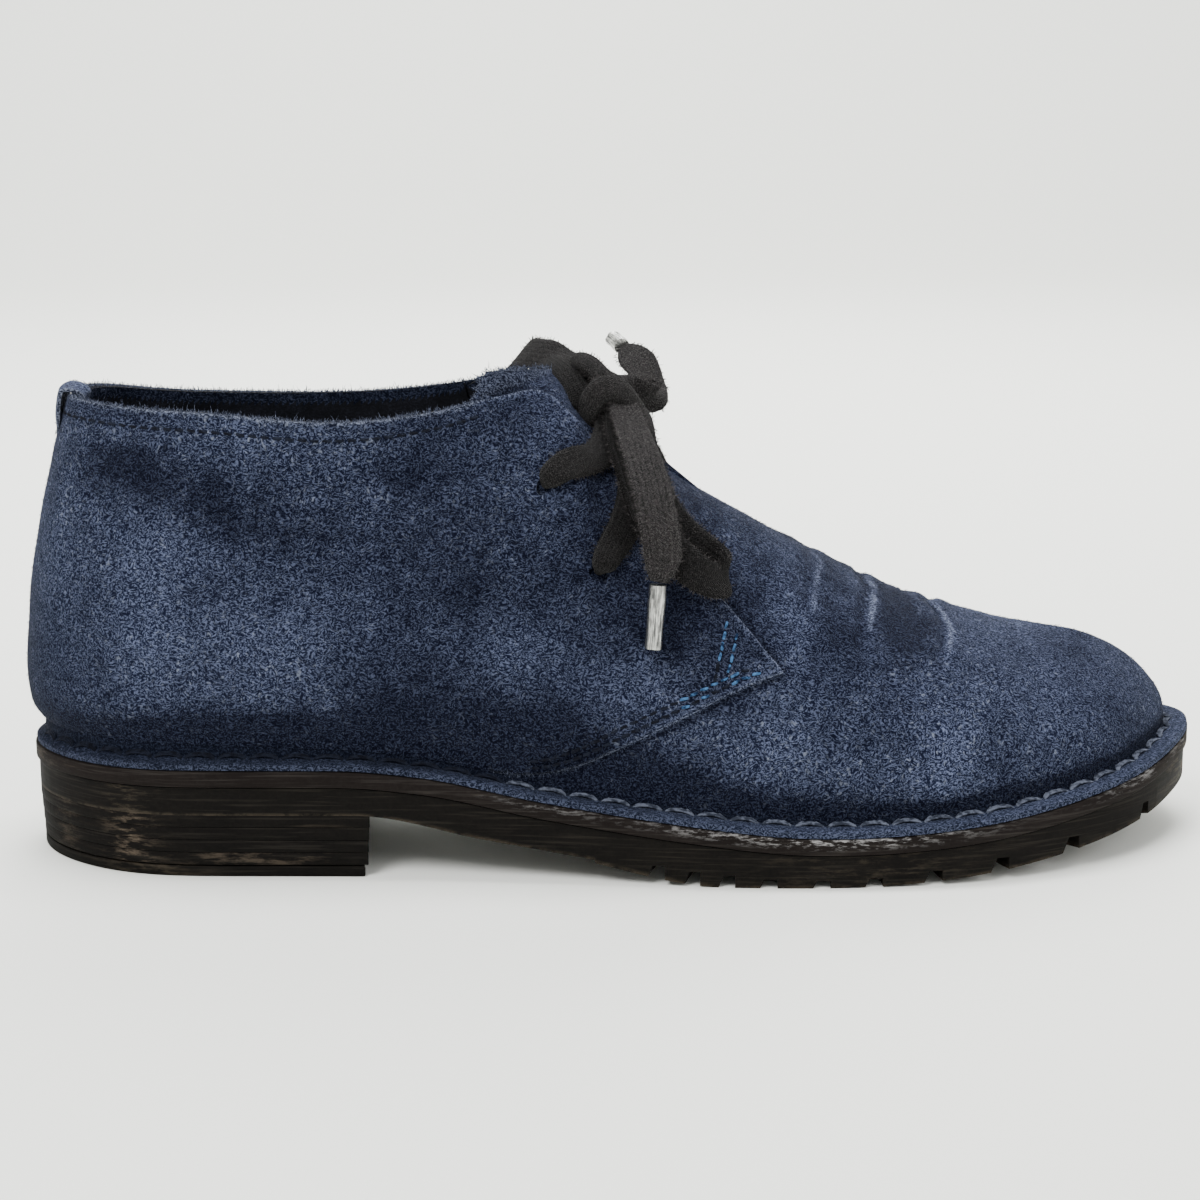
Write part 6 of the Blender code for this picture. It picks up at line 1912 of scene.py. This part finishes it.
def notch_cutters():
    """Wedges for the lugs' gaps: upright towards the toe, slanting away behind."""
    cutters = []
    for side in (-1, 1):
        turn = np.linspace(0, 1, 2001)
        line = edge(turn if side < 0 else 2 - turn)
        for x, lean, length, width in LUG_GAPS:
            rim = line[np.argmin(np.abs(line[:, 0] - x))]
            into = np.array([lean, -float(side)])
            into /= np.linalg.norm(into)
            ahead = np.array([1.0, 0.0]) - into * into[0]
            ahead /= np.linalg.norm(ahead)
            top, low = float(web(x)), float(tread(x)) - CUT_DEPTH
            bpy.ops.object.select_all(action="DESELECT")
            bpy.ops.mesh.primitive_cube_add(size=1)
            cutter = bpy.context.object
            for vertex in cutter.data.vertices:
                inner, front, upper = vertex.co.y > 0, vertex.co.x > 0, vertex.co.z > 0
                place = rim + into * (length if inner else -CUT_BEYOND)
                back = width * (0.5 if upper else 1.45) if not front else -width * 0.5
                place = place - ahead * back * (0.8 if inner else 1.0)
                vertex.co = (place[0] * MM, place[1] * MM, (top if upper else low) * MM)
            cutters.append(cutter)
    for x in CHANNELS_X:
        half, middle = 20 - max(0, x - 82) * 0.25, 2.0 + x * 0.04
        front = [(x, middle - half), (x + 6, middle), (x, middle + half)]
        bar = np.array(front + [(px - 3.4, py) for px, py in reversed(front)])
        cutters.append(cut_out("channel", bar, lambda px: tread(px) - CUT_DEPTH, web))
    return joined_up(cutters)


def cut_away(obj, cutter):
    """Takes the cutter out of a piece."""
    cut = obj.modifiers.new("cut", "BOOLEAN")
    cut.operation, cut.solver, cut.object = "DIFFERENCE", "EXACT", cutter
    bpy.context.view_layer.objects.active = obj
    bpy.ops.object.modifier_apply(modifier=cut.name)
    bpy.data.objects.remove(cutter, do_unlink=True)


def ground(x):
    """No height at all, over every x."""
    return 0 * x


def level_at(z):
    """The same height over every x."""
    return lambda x: ground(x) + z


def seat(x):
    """Underside of the midsole."""
    return deck(x) - MIDSOLE


def underside(x):
    """Face of the lugs, and of the rubber behind them."""
    return np.where(x < TREAD_START + 0.01, web(x) - 0.5, tread(x))


def build_sole():
    """Midsole, and the outsole with its lugs cut."""
    stations = np.arange(-147, 150, 4.0)
    midsole = cut_out("midsole", outline(0.0, BORDER_STEP)[:-1], seat, deck, stations)
    soften(midsole, 0.7)
    scuffs = (
        (30, -47, 24, 0.65), (62, -50, 22, 0.7), (132, -27, 14, 0.5), (149, 2, 10, 0.8),
        (-20, -42, 12, 0.3),
    )
    worn(midsole, seat, deck, scuffs, ((149, 5, 16, 0.9), (-150, 0, 20, 0.5)))
    finished(midsole, MIDSOLE_FINISH, "midsole")

    stations = np.sort(np.concatenate([stations, [TREAD_START, TREAD_START + 0.25]]))
    border = outline(0.7, BORDER_STEP)[:-1]
    outsole = cut_out("outsole", border, underside, lambda x: seat(x) - GAP, stations)
    cut_away(outsole, notch_cutters())
    soften(outsole, 0.3, 60, 1)
    browns = ((-123, -32, 7, 0.3), (146, 0, 14, 0.7), (60, -50, 24, 0.2))
    worn(outsole, underside, seat, browns=browns)
    finished(outsole, RUBBER, "outsole")


def build_heel():
    """The stacked heel's layers, each a little smaller than the one above, and its top lift."""
    layers = 4
    bottom = TOP_LIFT + GAP
    each = (HEEL_TOP - bottom) / layers
    border = heel_border(0.7, HEEL_BREAST, 3.0)
    layer = cut_out("heel_layer_1", border, ground, level_at(each))
    soften(layer, 0.28)
    for n in range(layers):
        piece = layer if n == layers - 1 else layer.copy()
        if n < layers - 1:
            piece.data = layer.data.copy()
            bpy.context.collection.objects.link(piece)
        piece.name = piece.data.name = f"heel_layer_{n + 1}"
        shrink = 1 - 0.004 * (layers - 1 - n)
        for vertex in piece.data.vertices:
            vertex.co.x = (vertex.co.x - HEEL_MIDDLE_X * MM) * shrink + HEEL_MIDDLE_X * MM
            vertex.co.y *= shrink
            vertex.co.z += (bottom + each * n) * MM
        browns = [(-123, -32, 6, 0.9), (-140, -20, 5, 0.3)]
        if n == 0:
            browns += [(-100, -36, 10, 0.4), (-84, -36, 10, 0.4)]
        worn(piece, level_at(TOP_LIFT), level_at(HEEL_TOP), browns=browns)
        finished(piece, HEEL_FINISH, "heel_stack")
    border = heel_border(1.2, HEEL_BREAST - 1.4, 3.0)
    lift = cut_out("top_lift", border, ground, level_at(TOP_LIFT))
    soften(lift, 0.5)
    worn(lift, ground, level_at(TOP_LIFT), browns=((-118, -34, 14, 0.3),))
    finished(lift, RUBBER, "top_lift")


def build_insole():
    """The insole, clear of the upper all round."""
    thickness, clear = 3.0, 0.9

    def low(x):
        return deck(x) + GAP

    def high(x):
        return low(x) + thickness

    turns = np.linspace(0, 2, 140, endpoint=False)
    room = closed(INSET, INSET, KNOTS, turns) + FLANGE + clear
    border = edge(turns) + inward(turns) * room[:, None]
    piece = cut_out("insole", border, low, high, np.arange(-140, 140, 5.0))
    soften(piece, 0.8)
    worn(piece, low, high)
    finished(piece, INSOLE_FINISH, "insole")


# ---- back tab ----

def tab_level(height):
    """The tab's face at a height over what it lies on; y runs from its outer end to its inner one."""
    stretch = np.linalg.norm(surface(1.0, TOP) - surface(-1.0, TOP)) / 2
    down = TOP / np.linalg.norm(surface(0.0, TOP) - surface(0.0, 0.0))
    outer_seat, inner_seat = OVERLAY + TAB_STAND_OFF, FLANGE + TAB_SLACK
    radius, middle = (outer_seat + inner_seat) / 2, (outer_seat - inner_seat) / 2

    def level(flat):
        a, y = flat[:, 0] / stretch, flat[:, 1]
        outside, inner_start = y < TAB_OUTSIDE, TAB_OUTSIDE + math.pi * radius
        depth = np.where(outside, TAB_OUTSIDE - y, np.clip(y - inner_start, 0, None))
        here, out, up = frame_at(a, TOP - depth * down)
        height_here = height * (0.25 + 0.75 * ease(y / 5.0))
        rising = (TAB_STAND_OFF + 0.3) * ease(y / TAB_OUTSIDE)
        off = np.where(outside, OVERLAY - 0.3 + rising + height_here, middle)
        off = np.where(y > inner_start, -inner_seat - height, off)[:, None]
        turned = np.clip((y - TAB_OUTSIDE) / radius, 0, math.pi)
        folding = (~outside & (y <= inner_start))[:, None]
        arc = np.cos(turned)[:, None] * out * (radius + height)
        arc += np.sin(turned)[:, None] * up * (TAB_FOLD + height)
        return here + out * off + np.where(folding, arc, 0)
    return level


def build_back_tab():
    """Narrow suede tab folded over the collar at the back."""
    radius = (OVERLAY + TAB_STAND_OFF + FLANGE + TAB_SLACK) / 2
    length = TAB_OUTSIDE + math.pi * radius + TAB_INSIDE
    angles = np.linspace(0, math.pi, 17)
    low = np.column_stack([-np.cos(angles), 1 - np.sin(angles)]) * (TAB_HALF_WIDTH, TAB_HALF_WIDTH * 0.8)
    high = np.column_stack([np.cos(angles), np.sin(angles) - 1]) * (TAB_HALF_WIDTH, 2.0) + (0, length)
    rise = np.linspace(low[-1, 1], high[0, 1], 40)[1:-1]
    side = np.column_stack([np.full(len(rise), TAB_HALF_WIDTH), rise])
    border = np.vstack([low, side, high, side[::-1] * (-1, 1)])
    inner = border * (0.94, 0.97) + (0, length * 0.015)
    grid = np.stack(np.meshgrid(np.arange(-8, 8.1, 1.0), np.arange(1, length, 0.8)), -1)
    lines = [closed_line(border), closed_line(inner)]
    flat, faces = triangulate(grid.reshape(-1, 2), lines, clearance=0.35)
    faces = faces[inside(flat[faces].mean(1), border)]
    rim = np.clip(1 - distance_to(flat, closed_line(border)) / 0.8, 0, 1)
    levels = [tab_level(h)(flat) for h in (0, TAB_THICKNESS)]
    middle = (levels[0] + levels[1]) / 2
    levels = [level + (middle - level) * 0.35 * rim[:, None] for level in levels]
    places, out, sources, kinds = layered(faces, [np.ones(len(faces), bool)], levels)
    zero = np.zeros(len(places))
    values = {"rub_and_painted_light": zero + 0.45, "raw_edge": rim[sources[:, 0]] * 0.8, "crease": zero}
    finish = [1 if kind == "cut" else 0 for kind, _ in kinds]
    made = make("back_tab", places, out, [SUEDE, SUEDE_EDGE], finish, values)
    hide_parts("back_tab")
    chance = np.random.default_rng(23)
    edges = closed_line(border)
    faces_at = [tab_level(height)(edges) for height in (0.1, TAB_THICKNESS - 0.1)]
    beyond = faces_at[0] - tab_level(0.1)(edges * (0.7, 0.97) + (0, length * 0.015))
    fuzz = [place for line in faces_at for place in fringe(line, beyond, 2.5, 0.9, 0.07, chance)]
    piece = joined_copies("back_tab_fuzz", fibre_shape(), fuzz, SUEDE_EDGE, sharp=80)


studio()
build_lace()
outer_faces = build_upper()
build_stitches()
build_fringes(outer_faces)
build_back_tab()
build_sole()
build_heel()
build_insole()
